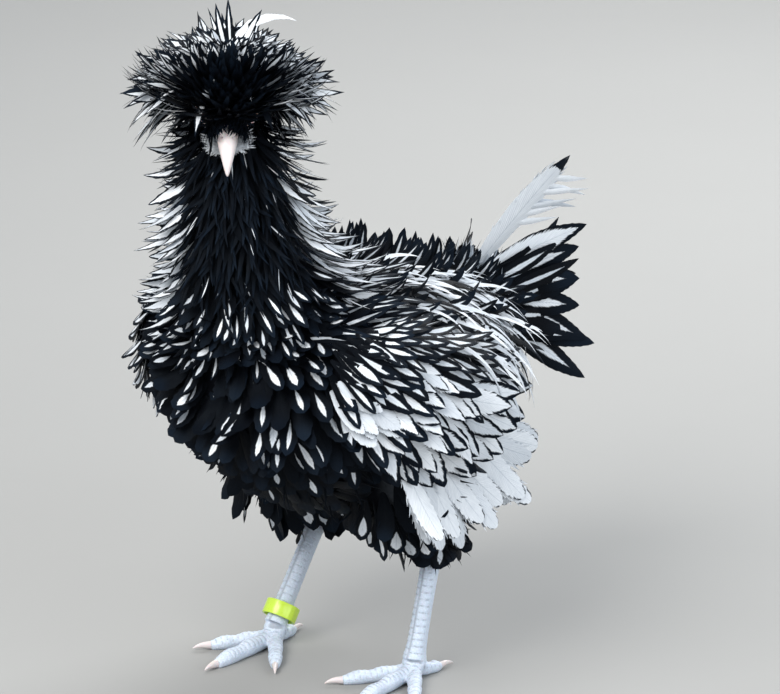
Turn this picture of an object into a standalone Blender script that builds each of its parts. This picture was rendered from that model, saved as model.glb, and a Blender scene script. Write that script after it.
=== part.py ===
"""A standing Polish hen with curled feathers: full globe crest, muffs and beard, laced plumage,
bare blue-white shanks and a leg ring. The hen faces -Y, its left side is +X and it stands on Z = 0."""

import math
import random

import bmesh
import bpy
import numpy as np
from mathutils import Matrix, Vector
from mathutils.bvhtree import BVHTree

# Driving sizes, in metres and degrees
GAP = 0.0003
SEED = 11
UP = Vector((0, 0, 1))
LEFT = Vector((1, 0, 0))

HEAD_CENTRE = Vector((0.011, -0.127, 0.3825))
HEAD_YAW = 38
HEAD_PITCH = 40
KNOB_RADIUS = 0.018
EYE_RADIUS = 0.0058
SHANK_RADIUS = 0.0056
ANKLE_HEIGHT = 0.0125
TOE_RADIUS = 0.0046
CLAW_LENGTH = 0.011
RING_RADIUS = 0.0104
RING_WALL = 0.0014
RING_HEIGHT = 0.009
RING_LIFT = 0.0085
LOWEST_TIP = 0.068
MOST_EXACT = 12
FLIGHTS = 8
CREST_FEATHERS = 88
CREST_LEAN = 7

# Length, width, thickness and sunk root of each kind of feather
BODY_FEATHER = (0.042, 0.024, 0.0015, 0.008)
HACKLE = (0.046, 0.013, 0.0013, 0.007)
BEARD_LOCK = (0.026, 0.0105, 0.0013, 0.004)
NAPE_FEATHER = (0.042, 0.012, 0.0013, 0.004)
CREST_FEATHER = (0.053, 0.012, 0.0014, 0.005)
WING_COVERT = (0.042, 0.020, 0.0014, 0.006)
FLIGHT = (0.068, 0.021, 0.0013, 0.014)
TAIL_FEATHER = (0.098, 0.024, 0.0014, 0.008)
TAIL_COVERT = (0.046, 0.017, 0.0014, 0.007)
THIGH_FEATHER = (0.034, 0.019, 0.0014, 0.006)

# How a feather that touches another node is bent up, shortened and narrowed, try by try
TRIES = 7
TRY_LIFT = 0.16
TRY_SHORTER = 0.06
TRY_NARROWER = 0.05

# Rings and sides of each form's mesh
TORSO_MESH = (12, 18)
NECK_MESH = (9, 14)
HEAD_MESH = (9, 14)
WING_MESH = (9, 12)
THIGH_MESH = (8, 12)
BEAK_MESH = (8, 8)
TAIL_MESH = (6, 12)
TOE_STEPS = 4

# Stations of each form: centre x, y, z, then half width, half height above and below the centre line
TORSO = (
    (0.000, -0.121, 0.216, 0.012, 0.014, 0.014),
    (0.000, -0.114, 0.215, 0.036, 0.034, 0.032),
    (0.000, -0.096, 0.209, 0.060, 0.050, 0.049),
    (0.000, -0.062, 0.198, 0.073, 0.062, 0.068),
    (0.000, -0.020, 0.186, 0.076, 0.063, 0.076),
    (0.000, 0.024, 0.182, 0.069, 0.055, 0.065),
    (0.000, 0.060, 0.184, 0.053, 0.041, 0.046),
    (0.000, 0.084, 0.189, 0.037, 0.029, 0.033),
    (0.000, 0.097, 0.193, 0.028, 0.022, 0.024),
)
NECK = (
    (0.000, -0.070, 0.214, 0.056, 0.044, 0.044),
    (0.001, -0.088, 0.247, 0.044, 0.038, 0.040),
    (0.004, -0.103, 0.281, 0.033, 0.031, 0.032),
    (0.007, -0.112, 0.314, 0.026, 0.025, 0.026),
    (0.009, -0.117, 0.345, 0.021, 0.020, 0.021),
    (0.010, -0.120, 0.367, 0.0145, 0.014, 0.0145),
)
TAIL = (
    (0.000, 0.0974, 0.193, 0.026, 0.021, 0.022),
    (0.000, 0.110, 0.198, 0.023, 0.020, 0.019),
    (0.000, 0.121, 0.204, 0.017, 0.015, 0.014),
    (0.000, 0.128, 0.208, 0.008, 0.007, 0.007),
)
WING = (
    (0.063, -0.099, 0.224, 0.006, 0.010, 0.010),
    (0.071, -0.088, 0.219, 0.013, 0.024, 0.026),
    (0.078, -0.060, 0.208, 0.015, 0.030, 0.036),
    (0.079, -0.024, 0.196, 0.014, 0.028, 0.038),
    (0.073, 0.012, 0.188, 0.013, 0.023, 0.032),
    (0.064, 0.040, 0.186, 0.010, 0.016, 0.020),
    (0.058, 0.053, 0.186, 0.004, 0.006, 0.006),
)
LEFT_THIGH = (
    (0.040, -0.016, 0.165, 0.034, 0.040, 0.036),
    (0.046, -0.014, 0.135, 0.033, 0.037, 0.034),
    (0.051, -0.002, 0.110, 0.024, 0.027, 0.025),
    (0.053, 0.009, 0.093, 0.015, 0.016, 0.015),
    (0.053, 0.014, 0.084, 0.0095, 0.0105, 0.0095),
)
RIGHT_THIGH = (
    (-0.040, -0.010, 0.165, 0.034, 0.040, 0.036),
    (-0.045, -0.002, 0.135, 0.033, 0.037, 0.034),
    (-0.048, 0.018, 0.109, 0.024, 0.027, 0.025),
    (-0.049, 0.034, 0.090, 0.015, 0.016, 0.015),
    (-0.049, 0.041, 0.080, 0.0095, 0.0105, 0.0095),
)
LEFT_ANKLE = Vector((0.051, -0.003, ANKLE_HEIGHT))
RIGHT_ANKLE = Vector((-0.050, -0.008, ANKLE_HEIGHT))

# Share of the width at each share of a vane's length
BROAD = ((0.0, 0.36), (0.42, 0.94), (0.78, 0.86), (1.0, 0.0))
LANCE = ((0.0, 0.36), (0.3, 0.95), (0.66, 0.86), (1.0, 0.0))
QUILL = ((0.0, 0.3), (0.3, 0.8), (0.6, 1.0), (0.86, 0.8), (1.0, 0.0))

BLACK = (0.012, 0.014, 0.019, 1)
WHITE = (0.78, 0.82, 0.84, 1)
SLATE = (0.52, 0.60, 0.72, 1)
HORN = (0.88, 0.84, 0.84, 1)
LIME = (0.64, 0.88, 0.12, 1)
EYE = (0.16, 0.05, 0.015, 1)


def axes_of_head():
    """The head's forward, left and up directions, from its turn to the left and its downward nod."""
    yaw = math.radians(HEAD_YAW)
    pitch = math.radians(HEAD_PITCH)
    level = Vector((math.sin(yaw), -math.cos(yaw), 0))
    forward = level * math.cos(pitch) - UP * math.sin(pitch)
    left = Vector((math.cos(yaw), math.sin(yaw), 0))
    return forward, left, forward.cross(left)


FORWARD, HEAD_LEFT, HEAD_UP = axes_of_head()


def head_point(forward, left, up):
    """A point given along the head's own directions, from the head's centre."""
    return HEAD_CENTRE + FORWARD * forward + HEAD_LEFT * left + HEAD_UP * up


KNOB_CENTRE = head_point(-0.004, 0, 0.021)


class Form:
    """A smooth body of oval rings round a curved centre line, read at any length t and angle a."""

    def __init__(self, stations, side=LEFT, turn=0.0):
        self.rows = np.array(stations, float)
        self.side = side
        self.turn = math.radians(turn)

    def row(self, t):
        """The station at t from 0 to 1, on a Catmull-Rom curve through the given ones."""
        last = len(self.rows) - 1
        at = min(max(t, 0.0), 1.0) * last
        i = min(int(at), last - 1)
        f = at - i
        p = [self.rows[min(max(i + k, 0), last)] for k in (-1, 0, 1, 2)]
        bend = 2 * p[0] - 5 * p[1] + 4 * p[2] - p[3]
        twist = 3 * (p[1] - p[2]) + p[3] - p[0]
        return 0.5 * (2 * p[1] + (p[2] - p[0]) * f + bend * f * f + twist * f ** 3)

    def axes(self, t):
        """Centre, direction of travel, side and upper direction at t."""
        step = 0.01
        centre = Vector(self.row(t)[:3])
        ahead = Vector(self.row(min(t + step, 1))[:3]) - Vector(self.row(max(t - step, 0))[:3])
        along = ahead.normalized()
        side = Matrix.Rotation(self.turn * t, 3, "Z") @ self.side
        side = (side - along * side.dot(along)).normalized()
        return centre, along, side, side.cross(along)

    def at(self, t, a, grow=0.0):
        """The point of the skin at length t and angle a, where 0 is the side and a quarter turn the top."""
        centre, _, side, top = self.axes(t)
        _, _, _, wide, high, low = self.row(t)
        tall = high if math.sin(a) > 0 else low
        return centre + side * math.cos(a) * (wide + grow) + top * math.sin(a) * (tall + grow)

    def out(self, t, a):
        """The outward direction of the skin there."""
        step = 0.02
        round_it = self.at(t, a + step) - self.at(t, a - step)
        run = self.at(min(t + step, 1), a) - self.at(max(t - step, 0), a)
        outward = round_it.cross(run).normalized()
        centre = self.axes(t)[0]
        return outward if outward.dot(self.at(t, a) - centre) > 0 else -outward

    def mesh(self, name, rings, around, grow=0.0, marks=None):
        """A closed object of this form. Marks are the lengths t of its rings, evenly spaced if left out."""
        bm = bmesh.new()
        loops = []
        for t in marks or [i / (rings - 1) for i in range(rings)]:
            points = [self.at(t, 2 * math.pi * k / around, grow) for k in range(around)]
            if grow and t in (0, 1):
                travel = self.axes(t)[1] * (grow if t else -grow)
                points = [p + travel for p in points]
            loops.append([bm.verts.new(p) for p in points])
        join_rings(bm, loops)
        return object_of(name, bm)


def join_rings(bm, loops):
    """Skins rings of corners in order, every strip split the same way, and caps both ends."""
    around = len(loops[0])
    for ring, after in zip(loops, loops[1:]):
        for k in range(around):
            m = (k + 1) % around
            bm.faces.new((ring[k], ring[m], after[m]))
            bm.faces.new((ring[k], after[m], after[k]))
    bm.faces.new(loops[0])
    bm.faces.new(loops[-1])


def object_of(name, bm):
    """The closed bmesh as an object, its faces turned outwards."""
    bmesh.ops.recalc_face_normals(bm, faces=bm.faces)
    mesh = bpy.data.meshes.new(name)
    bm.to_mesh(mesh)
    bm.free()
    made = bpy.data.objects.new(name, mesh)
    bpy.context.scene.collection.objects.link(made)
    return made


def delete(made):
    """Removes a helper object."""
    bpy.data.objects.remove(made)


def combine(body, others, operation):
    """One Boolean of the body with closed helper objects, applied, and the helpers removed."""
    group = bpy.data.collections.new(body.name + "_pieces")
    bpy.context.scene.collection.children.link(group)
    for other in others:
        bpy.context.scene.collection.objects.unlink(other)
        group.objects.link(other)
    modifier = body.modifiers.new("combine", "BOOLEAN")
    modifier.operation = operation
    modifier.operand_type = "COLLECTION"
    modifier.collection = group
    modifier.solver = "MANIFOLD" if len(others) > MOST_EXACT else "EXACT"
    bpy.context.view_layer.update()
    seen = body.evaluated_get(bpy.context.evaluated_depsgraph_get())
    body.data = bpy.data.meshes.new_from_object(seen)
    body.modifiers.clear()
    for other in list(group.objects):
        delete(other)
    bpy.data.collections.remove(group)
    keep_largest(body)
    return body


def keep_largest(body):
    """Drops loose scraps, so that the node is one closed surface."""
    bm = bmesh.new()
    bm.from_mesh(body.data)
    bmesh.ops.triangulate(bm, faces=bm.faces)
    left = set(bm.faces)
    shells = []
    while left:
        edge_of = [left.pop()]
        shell = list(edge_of)
        while edge_of:
            face = edge_of.pop()
            for edge in face.edges:
                for near in edge.link_faces:
                    if near in left:
                        left.discard(near)
                        shell.append(near)
                        edge_of.append(near)
        shells.append(shell)
    shells.sort(key=len)
    for shell in shells[:-1]:
        bmesh.ops.delete(bm, geom=shell, context="FACES")
    loose = [v for v in bm.verts if not v.link_faces]
    bmesh.ops.delete(bm, geom=loose, context="VERTS")
    bm.to_mesh(body.data)
    bm.free()


def tree_of(made):
    """A search tree of the object's triangles."""
    bm = bmesh.new()
    bm.from_mesh(made.data)
    tree = BVHTree.FromBMesh(bm)
    bm.free()
    return tree


def vane_points(root, along, out, size, pose, outline, grow=0.0):
    """Rows of left, right and ridge points of a tapering vane, and its tip.

    It starts sunk under the root, leaves the skin at the lift angle and turns outwards by the curl."""
    length, width, thick, sink = size
    lift, curl, roll = pose
    side = Matrix.Rotation(roll, 3, out) @ along.cross(out)
    rows = []
    place = root - (along * math.cos(lift) + out * math.sin(lift)) * sink
    whole = length + sink
    for (share, wide), (before, _) in zip(outline, ((0, 0),) + outline):
        middle = (share + before) / 2
        angle = lift + curl * middle ** 1.4
        heading = along * math.cos(angle) + out * math.sin(angle)
        place = place + heading * whole * (share - before)
        here = lift + curl * share ** 1.4
        above = out * math.cos(here) - along * math.sin(here)
        if share == 1:
            return rows, place + heading * grow
        half = side * (width * wide / 2 + grow)
        rows.append((place - half - above * grow, place + half - above * grow, place + above * (thick + grow)))
    return rows, place


def vane(name, points):
    """A closed three-sided vane through those rows, split alike on every face."""
    rows, tip = points
    bm = bmesh.new()
    rings = [[bm.verts.new(p) for p in row] for row in rows]
    for ring, after in zip(rings, rings[1:]):
        for k in range(3):
            m = (k + 1) % 3
            bm.faces.new((ring[k], ring[m], after[m]))
            bm.faces.new((ring[k], after[m], after[k]))
    bm.faces.new(rings[0])
    end = bm.verts.new(tip)
    for k in range(3):
        bm.faces.new((rings[-1][k], rings[-1][(k + 1) % 3], end))
    return object_of(name, bm)


def tree_of_points(points):
    """A search tree of a vane before it is made."""
    rows, tip = points
    corners = [p for row in rows for p in row] + [tip]
    faces = []
    for r in range(len(rows) - 1):
        for k in range(3):
            a, b = 3 * r + k, 3 * r + (k + 1) % 3
            faces += [(a, b, b + 3), (a, b + 3, a + 3)]
    last = 3 * (len(rows) - 1)
    faces += [(0, 1, 2)] + [(last + k, last + (k + 1) % 3, len(corners) - 1) for k in range(3)]
    return BVHTree.FromPolygons(corners, faces)


def clear_vane(name, root, along, out, size, pose, outline, others):
    """The vane bent up, then shortened, until it is clear of the other nodes, or None."""
    lift, curl, roll = pose
    length, width, thick, sink = size
    for attempt in range(TRIES):
        raised = (min(lift + attempt * TRY_LIFT, 1.5), curl, roll)
        cut = (length * (1 - TRY_SHORTER * attempt), width * (1 - TRY_NARROWER * attempt), thick, sink)
        grown = vane_points(root, along, out, cut, raised, outline, 2 * GAP)
        tip = grown[1]
        tree = tree_of_points(grown)
        if tip.z > LOWEST_TIP and not any(tree.overlap(other) for other in others):
            return vane(name, vane_points(root, along, out, cut, raised, outline))
    return None


def cover(name, roots, trees, core):
    """Fuses vanes into a node's core, each kept clear of all the other nodes."""
    others = [tree for node, tree in trees.items() if node != name]
    made = []
    for k, (root, along, out, size, pose, outline) in enumerate(roots):
        piece = clear_vane(f"{name}_vane_{k}", root, along, out, size, pose, outline, others)
        if piece:
            made.append(piece)
    if made:
        combine(core, made, "UNION")
    trees[name] = tree_of(core)
    print(name, "vanes", len(made), "of", len(roots), "triangles", len(core.data.polygons))
    return core


def lie_along(way, out):
    """The wanted way laid into the skin's tangent plane."""
    return (way - out * way.dot(out)).normalized()


def build_cores():
    """Every node without its feathers, each cut clear of what it meets."""
    nodes = {}
    torso = Form(TORSO)
    nodes["torso"] = torso.mesh("torso", *TORSO_MESH)
    neck = Form(NECK, LEFT, HEAD_YAW)
    nodes["neck"] = neck.mesh("neck", *NECK_MESH)
    combine(nodes["neck"], [torso.mesh("cutter", *TORSO_MESH, GAP)], "DIFFERENCE")
    head = Form(head_stations(), HEAD_LEFT)
    nodes["head"] = head.mesh("head", *HEAD_MESH)
    combine(nodes["neck"], [head.mesh("cutter", *HEAD_MESH, GAP)], "DIFFERENCE")
    nodes["crest"] = knob("crest")
    combine(nodes["crest"], [head.mesh("cutter", *HEAD_MESH, GAP)], "DIFFERENCE")
    for side, name in ((1, "left"), (-1, "right")):
        add_eye(nodes, side, name)
        wing = Form([(side * r[0],) + r[1:] for r in WING])
        nodes["wing_" + name] = wing.mesh("wing_" + name, *WING_MESH)
        combine(nodes["wing_" + name], [torso.mesh("cutter", *TORSO_MESH, GAP)], "DIFFERENCE")
        thigh = Form(LEFT_THIGH if side > 0 else RIGHT_THIGH)
        nodes["thigh_" + name] = thigh.mesh("thigh_" + name, *THIGH_MESH)
        combine(nodes["thigh_" + name], [torso.mesh("cutter", *TORSO_MESH, GAP)], "DIFFERENCE")
        cut_wing = wing.mesh("cutter", *WING_MESH, GAP)
        combine(nodes["thigh_" + name], [cut_wing], "DIFFERENCE")
        combine(nodes["neck"], [wing.mesh("cutter", *WING_MESH, GAP)], "DIFFERENCE")
        add_leg(nodes, side, name)
    add_beak(nodes, head)
    combine(nodes["beak_lower"], [neck.mesh("cutter", *NECK_MESH, GAP)], "DIFFERENCE")
    nodes["tail"] = Form(TAIL).mesh("tail", *TAIL_MESH)
    combine(nodes["tail"], [torso.mesh("cutter", *TORSO_MESH, GAP)], "DIFFERENCE")
    return nodes


def head_stations():
    """The skull's stations from the beak's root back to the nape."""
    shape = (
        (0.0215, -0.001, 0.0075, 0.0078, 0.0075),
        (0.0155, 0.000, 0.0125, 0.0125, 0.0115),
        (0.0060, 0.002, 0.0165, 0.0155, 0.0160),
        (-0.0060, 0.003, 0.0175, 0.0160, 0.0185),
        (-0.0170, 0.002, 0.0145, 0.0140, 0.0165),
        (-0.0230, 0.001, 0.0070, 0.0070, 0.0080),
    )
    return [tuple(head_point(f, 0, u)) + (w, high, low) for f, u, w, high, low in shape]


def knob(name):
    """The rounded skull knob that carries the crest."""
    bm = bmesh.new()
    bmesh.ops.create_icosphere(bm, subdivisions=2, radius=KNOB_RADIUS)
    bmesh.ops.translate(bm, verts=bm.verts, vec=KNOB_CENTRE)
    return object_of(name, bm)


def ball(name, centre, radius, segments=10):
    """A round ball."""
    bm = bmesh.new()
    bmesh.ops.create_uvsphere(bm, u_segments=segments, v_segments=segments // 2 + 1, radius=radius)
    bmesh.ops.translate(bm, verts=bm.verts, vec=centre)
    return object_of(name, bm)


def add_eye(nodes, side, name):
    """An eyeball in its socket, with a raised ring of lids round it."""
    centre = head_point(0.0080, side * 0.0128, 0.0030)
    look = (HEAD_LEFT * side + FORWARD * 0.35 + HEAD_UP * 0.1).normalized()
    turn = look.to_track_quat("Z", "Y").to_matrix().to_4x4()
    lids = ring("lids", EYE_RADIUS * 1.16, EYE_RADIUS * 0.8, 0.0032, 10)
    lids.data.transform(Matrix.Translation(centre + look * EYE_RADIUS * 0.42) @ turn)
    combine(nodes["head"], [lids], "UNION")
    combine(nodes["head"], [ball("socket", centre, EYE_RADIUS + GAP)], "DIFFERENCE")
    nodes["eye_" + name] = ball("eye_" + name, centre, EYE_RADIUS)


def ring(name, outer, inner, height, around):
    """A flat-walled ring about Z, with its middle at the origin."""
    bm = bmesh.new()
    corners = ((outer, -height / 2), (outer, height / 2), (inner, height / 2), (inner, -height / 2))
    loop = [bm.verts.new((radius, 0, z)) for radius, z in corners]
    edges = [bm.edges.new((loop[k], loop[(k + 1) % 4])) for k in range(4)]
    bmesh.ops.spin(
        bm,
        geom=edges + loop,
        cent=(0, 0, 0),
        axis=(0, 0, 1),
        angle=2 * math.pi,
        steps=around,
        use_merge=True,
    )
    bmesh.ops.remove_doubles(bm, verts=bm.verts, dist=1e-6)
    return object_of(name, bm)


def add_beak(nodes, head):
    """The two halves of the beak with the line of the mouth between them, and the raised nostrils."""
    upper = (
        (0.0180, 0.0015, 0.0078, 0.0066, 0.0030),
        (0.0250, 0.0018, 0.0068, 0.0064, 0.0034),
        (0.0330, 0.0008, 0.0050, 0.0048, 0.0037),
        (0.0400, -0.0016, 0.0032, 0.0032, 0.0034),
        (0.0455, -0.0052, 0.0014, 0.0015, 0.0017),
        (0.0470, -0.0074, 0.0004, 0.0004, 0.0005),
    )
    lower = (
        (0.0180, -0.0050, 0.0064, 0.0026, 0.0032),
        (0.0260, -0.0047, 0.0054, 0.0023, 0.0032),
        (0.0340, -0.0048, 0.0039, 0.0015, 0.0028),
        (0.0405, -0.0066, 0.0019, 0.0007, 0.0015),
        (0.0428, -0.0076, 0.0005, 0.0003, 0.0005),
    )
    forms = {}
    for name, rows in (("beak_upper", upper), ("beak_lower", lower)):
        stations = [tuple(head_point(f, 0, u)) + (w, high, low) for f, u, w, high, low in rows]
        forms[name] = Form(stations, -HEAD_LEFT)
        nodes[name] = forms[name].mesh(name, *BEAK_MESH)
    for side in (1, -1):
        dome = ball("dome", head_point(0.0252, side * 0.0038, 0.0066), 0.0040, 8)
        combine(nodes["beak_upper"], [dome], "UNION")
        slot = ball("slot", head_point(0.0274, side * 0.0075, 0.0066), 0.0018, 6)
        combine(nodes["beak_upper"], [slot], "DIFFERENCE")
    cutter = head.mesh("cutter", *HEAD_MESH, GAP)
    combine(nodes["beak_upper"], [cutter], "DIFFERENCE")
    combine(nodes["beak_lower"], [head.mesh("cutter", *HEAD_MESH, GAP)], "DIFFERENCE")
    mouth = forms["beak_upper"].mesh("cutter", *BEAK_MESH, GAP)
    combine(nodes["beak_lower"], [mouth], "DIFFERENCE")


def stepped(stations, side, name, steps, around, flare=0.08):
    """A leg or toe whose scutes show as rings that each step out a little from the one before."""
    form = Form(stations, side)
    bm = bmesh.new()
    loops = []
    for k in range(steps):
        for share, swell in ((0.04, 1 - flare), (0.96, 1 + flare)):
            t = (k + share) / steps
            centre = form.axes(t)[0]
            spots = [form.at(t, 2 * math.pi * j / around) for j in range(around)]
            loops.append([bm.verts.new(centre + (p - centre) * swell) for p in spots])
    join_rings(bm, loops)
    return object_of(name, bm)


def slab(name, low, high):
    """A block with the given lowest and highest corners."""
    bm = bmesh.new()
    bmesh.ops.create_cube(bm, size=1)
    bmesh.ops.scale(bm, verts=bm.verts, vec=Vector(high) - Vector(low))
    bmesh.ops.translate(bm, verts=bm.verts, vec=(Vector(high) + Vector(low)) / 2)
    return object_of(name, bm)


# Toe name, turn from straight ahead in degrees, length and radius share
TOES = (("inner", 38, 0.040, 0.92), ("middle", 2, 0.054, 1.0), ("outer", -38, 0.044, 0.92), ("hind", 172, 0.021, 0.8))


def add_leg(nodes, side, name):
    """The scaled shank, the foot with its four toes on flat soles, and the claws."""
    thigh = LEFT_THIGH if side > 0 else RIGHT_THIGH
    hock = Vector(thigh[-1][:3])
    ankle = LEFT_ANKLE if side > 0 else RIGHT_ANKLE
    run = ankle - hock
    down = run.normalized()
    r = SHANK_RADIUS
    spots = ((0.0, 1.55), (0.1, 1.4), (0.22, 1.05), (0.5, 0.98), (0.8, 1.02), (0.93, 1.12), (1.0, 1.3))
    rows = [tuple(hock + run * s) + (r * w * 0.94, r * w * 1.1, r * w * 1.1) for s, w in spots]
    nodes["shank_" + name] = stepped(rows, LEFT, "shank_" + name, 9, 8, 0.035)
    combine(nodes["shank_" + name], [Form(thigh).mesh("cutter", *THIGH_MESH, GAP)], "DIFFERENCE")
    foot = ball("foot_" + name, ankle + Vector((0, 0, -0.004)), r * 1.36, 10)
    toes = []
    claws = []
    for toe, turn, length, share in TOES:
        angle = math.radians(turn * side)
        way = Vector((math.sin(angle), -math.cos(angle), 0))
        start = Vector((ankle.x, ankle.y, TOE_RADIUS * 0.8))
        tall = TOE_RADIUS * share
        joints = ((0.0, 1.2), (0.25, 1.0), (0.45, 1.1), (0.6, 0.92), (0.78, 1.02), (0.92, 0.8), (1.0, 0.62))
        toe_rows = []
        for s, w in joints:
            place = start + way * length * s
            place.z = max(tall * w * 0.78, 0.0022) + (1 - s) ** 2 * 0.002
            toe_rows.append(tuple(place) + (tall * w, tall * w, tall * w))
        sideways = Vector((way.y, -way.x, 0))
        toes.append(stepped(toe_rows, sideways, "toe", 3 if toe == "hind" else TOE_STEPS, 6, 0.06))
        claw = claw_form(Vector(toe_rows[-1][:3]), way, tall * 0.56)
        nodes[f"claw_{name}_{toe}"] = claw.mesh(f"claw_{name}_{toe}", 5, 6)
        claws.append(claw.mesh("cutter", 5, 6, GAP))
    combine(foot, toes, "UNION")
    combine(foot, claws, "DIFFERENCE")
    under = slab("floor", (ankle.x - 0.1, ankle.y - 0.1, -0.05), (ankle.x + 0.1, ankle.y + 0.1, 0.0))
    combine(foot, [under], "DIFFERENCE")
    grown = Form([row[:3] + tuple(v + GAP * 1.5 for v in row[3:]) for row in rows], LEFT)
    combine(foot, [grown.mesh("cutter", 9, 16, GAP * 2)], "DIFFERENCE")
    nodes["foot_" + name] = foot


def claw_form(tip, way, radius):
    """A curved, tapering claw that meets the toe's flat end."""
    rows = []
    for s, w in ((0.0, 1.0), (0.35, 0.8), (0.7, 0.5), (1.0, 0.14)):
        place = tip + way * (CLAW_LENGTH * s + GAP)
        place.z = max(tip.z + 0.0012 * math.sin(math.pi * s) - 0.0006 * s, radius * w + 0.0004)
        rows.append(tuple(place) + (radius * w * 0.8, radius * w, radius * w))
    return Form(rows, Vector((way.y, -way.x, 0)))


def add_ring(nodes):
    """The plastic leg ring, which hangs round the right shank just above the foot."""
    hock = Vector(RIGHT_THIGH[-1][:3])
    down = (RIGHT_ANKLE - hock).normalized()
    centre = RIGHT_ANKLE - down * RING_LIFT
    turn = down.to_track_quat("Z", "Y").to_matrix().to_4x4()
    band = ring("leg_ring", RING_RADIUS, RING_RADIUS - RING_WALL, RING_HEIGHT, 24)
    band.data.transform(Matrix.Translation(centre) @ turn)
    nodes["leg_ring"] = band


def material(name, colour, roughness):
    """A plain finish for one node."""
    made = bpy.data.materials.new(name)
    made.use_nodes = True
    shader = made.node_tree.nodes["Principled BSDF"]
    shader.inputs["Base Color"].default_value = colour
    shader.inputs["Roughness"].default_value = roughness
    shader.inputs["Metallic"].default_value = 0.0
    return made


def finish(nodes):
    """Gives each node its finish, its own origin and its place under one empty, centred over the floor."""
    finishes = (("eye", EYE, 0.1), ("beak", HORN, 0.35), ("claw", HORN, 0.4), ("shank", SLATE, 0.55),
                ("foot", SLATE, 0.55), ("leg_ring", LIME, 0.3), ("wing", WHITE, 0.6), ("", BLACK, 0.6))
    corners = [v.co for made in nodes.values() for v in made.data.vertices]
    low = Vector([min(c[k] for c in corners) for k in range(3)])
    high = Vector([max(c[k] for c in corners) for k in range(3)])
    shift = Vector((-(low.x + high.x) / 2, -(low.y + high.y) / 2, -low.z))
    print("shift", [round(v, 5) for v in shift], "size", [round(v, 4) for v in high - low])
    whole = bpy.data.objects.new("hen", None)
    bpy.context.scene.collection.objects.link(whole)
    whole.location = shift
    for name, made in nodes.items():
        _, colour, rough = next(f for f in finishes if name.startswith(f[0]))
        made.data.materials.append(material(name, colour, rough))
        points = [v.co for v in made.data.vertices]
        middle = sum(points, Vector()) / len(points)
        made.data.transform(Matrix.Translation(-middle))
        made.location = middle
        made.parent = whole
        made.data.shade_smooth()
        made.data.set_sharp_from_angle(angle=math.radians(35))


# Tiers of feathers. Each row: length t of the row on its form, first and last angle, and how many
TORSO_ROWS = (
    (0.08, -90, 270, 9),
    (0.19, -90, 270, 13),
    (0.30, -90, 270, 15),
    (0.42, -90, 270, 17),
    (0.54, -90, 270, 17),
    (0.66, -90, 270, 15),
    (0.78, -90, 270, 12),
    (0.90, -90, 270, 9),
)
NECK_ROWS = (
    (0.20, -180, 180, 12),
    (0.36, -180, 180, 12),
    (0.52, -180, 180, 11),
    (0.67, -180, 180, 9),
    (0.82, -180, 180, 8),
    (0.93, 10, 170, 6),
)
HEAD_ROWS = ((0.22, -62, 4, 3), (0.22, -184, -118, 3), (0.42, -60, 10, 4), (0.42, -190, -120, 4),
             (0.62, -50, 20, 4), (0.62, -200, -130, 4))
NAPE_ROWS = ((0.72, 20, 160, 4), (0.86, -10, 190, 5))
WING_ROWS = ((0.15, -20, 60, 2), (0.24, -60, 85, 4), (0.38, -65, 85, 5), (0.54, -65, 85, 5), (0.70, -60, 80, 4))
THIGH_ROWS = ((0.30, -180, 180, 7), (0.52, -180, 180, 7), (0.74, -180, 180, 6))


def angles_of(first, last, count, stagger):
    """Evenly spaced angles in radians, a half step on in every other row."""
    step = (last - first) / count
    return [math.radians(first + step * (k + (0.75 if stagger else 0.25))) for k in range(count)]


def torso_way(place, out):
    """Breast feathers hang down and outwards, those of the back and flanks run backwards."""
    front = min(max((-place.y - 0.005) / 0.085, 0.0), 1.0)
    side = out.x * (0.5 + 0.5 * front)
    return Vector((side, 1.05 - 0.85 * front, -0.3 - 0.7 * front - 0.25 * abs(out.x)))


def torso_vanes(draw):
    """The broad curled feathers of breast, back, flanks and belly."""
    form = Form(TORSO)
    vanes = []
    for k, (t, first, last, count) in enumerate(TORSO_ROWS):
        for a in angles_of(first, last, count, k % 2):
            root, out = form.at(t, a), form.out(t, a)
            along = lie_along(torso_way(root, out), out)
            under = max(-out.z, 0.0)
            length = BODY_FEATHER[0] - 0.007 * under + draw.uniform(-0.003, 0.003)
            lift = math.radians(22 - 10 * under) + draw.uniform(-0.05, 0.05)
            pose = (lift, math.radians(38 - 14 * under), draw.uniform(-0.12, 0.12))
            vanes.append((root, along, out, (length,) + BODY_FEATHER[1:], pose, BROAD))
    return vanes


def neck_vanes(draw):
    """The narrow hackles, which fall from the nape and throat and curl outwards."""
    form = Form(NECK, LEFT, HEAD_YAW)
    vanes = []
    for k, (t, first, last, count) in enumerate(NECK_ROWS):
        for a in angles_of(first, last, count, k % 2):
            root, out = form.at(t, a), form.out(t, a)
            along = lie_along(Vector((out.x * 0.9, out.y * 0.6 + 0.25, -1)), out)
            length = HACKLE[0] - 0.012 * t + draw.uniform(-0.003, 0.003)
            pose = (math.radians(26) + draw.uniform(-0.06, 0.06), math.radians(48), draw.uniform(-0.2, 0.2))
            vanes.append((root, along, out, (length,) + HACKLE[1:], pose, LANCE))
    return vanes


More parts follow.
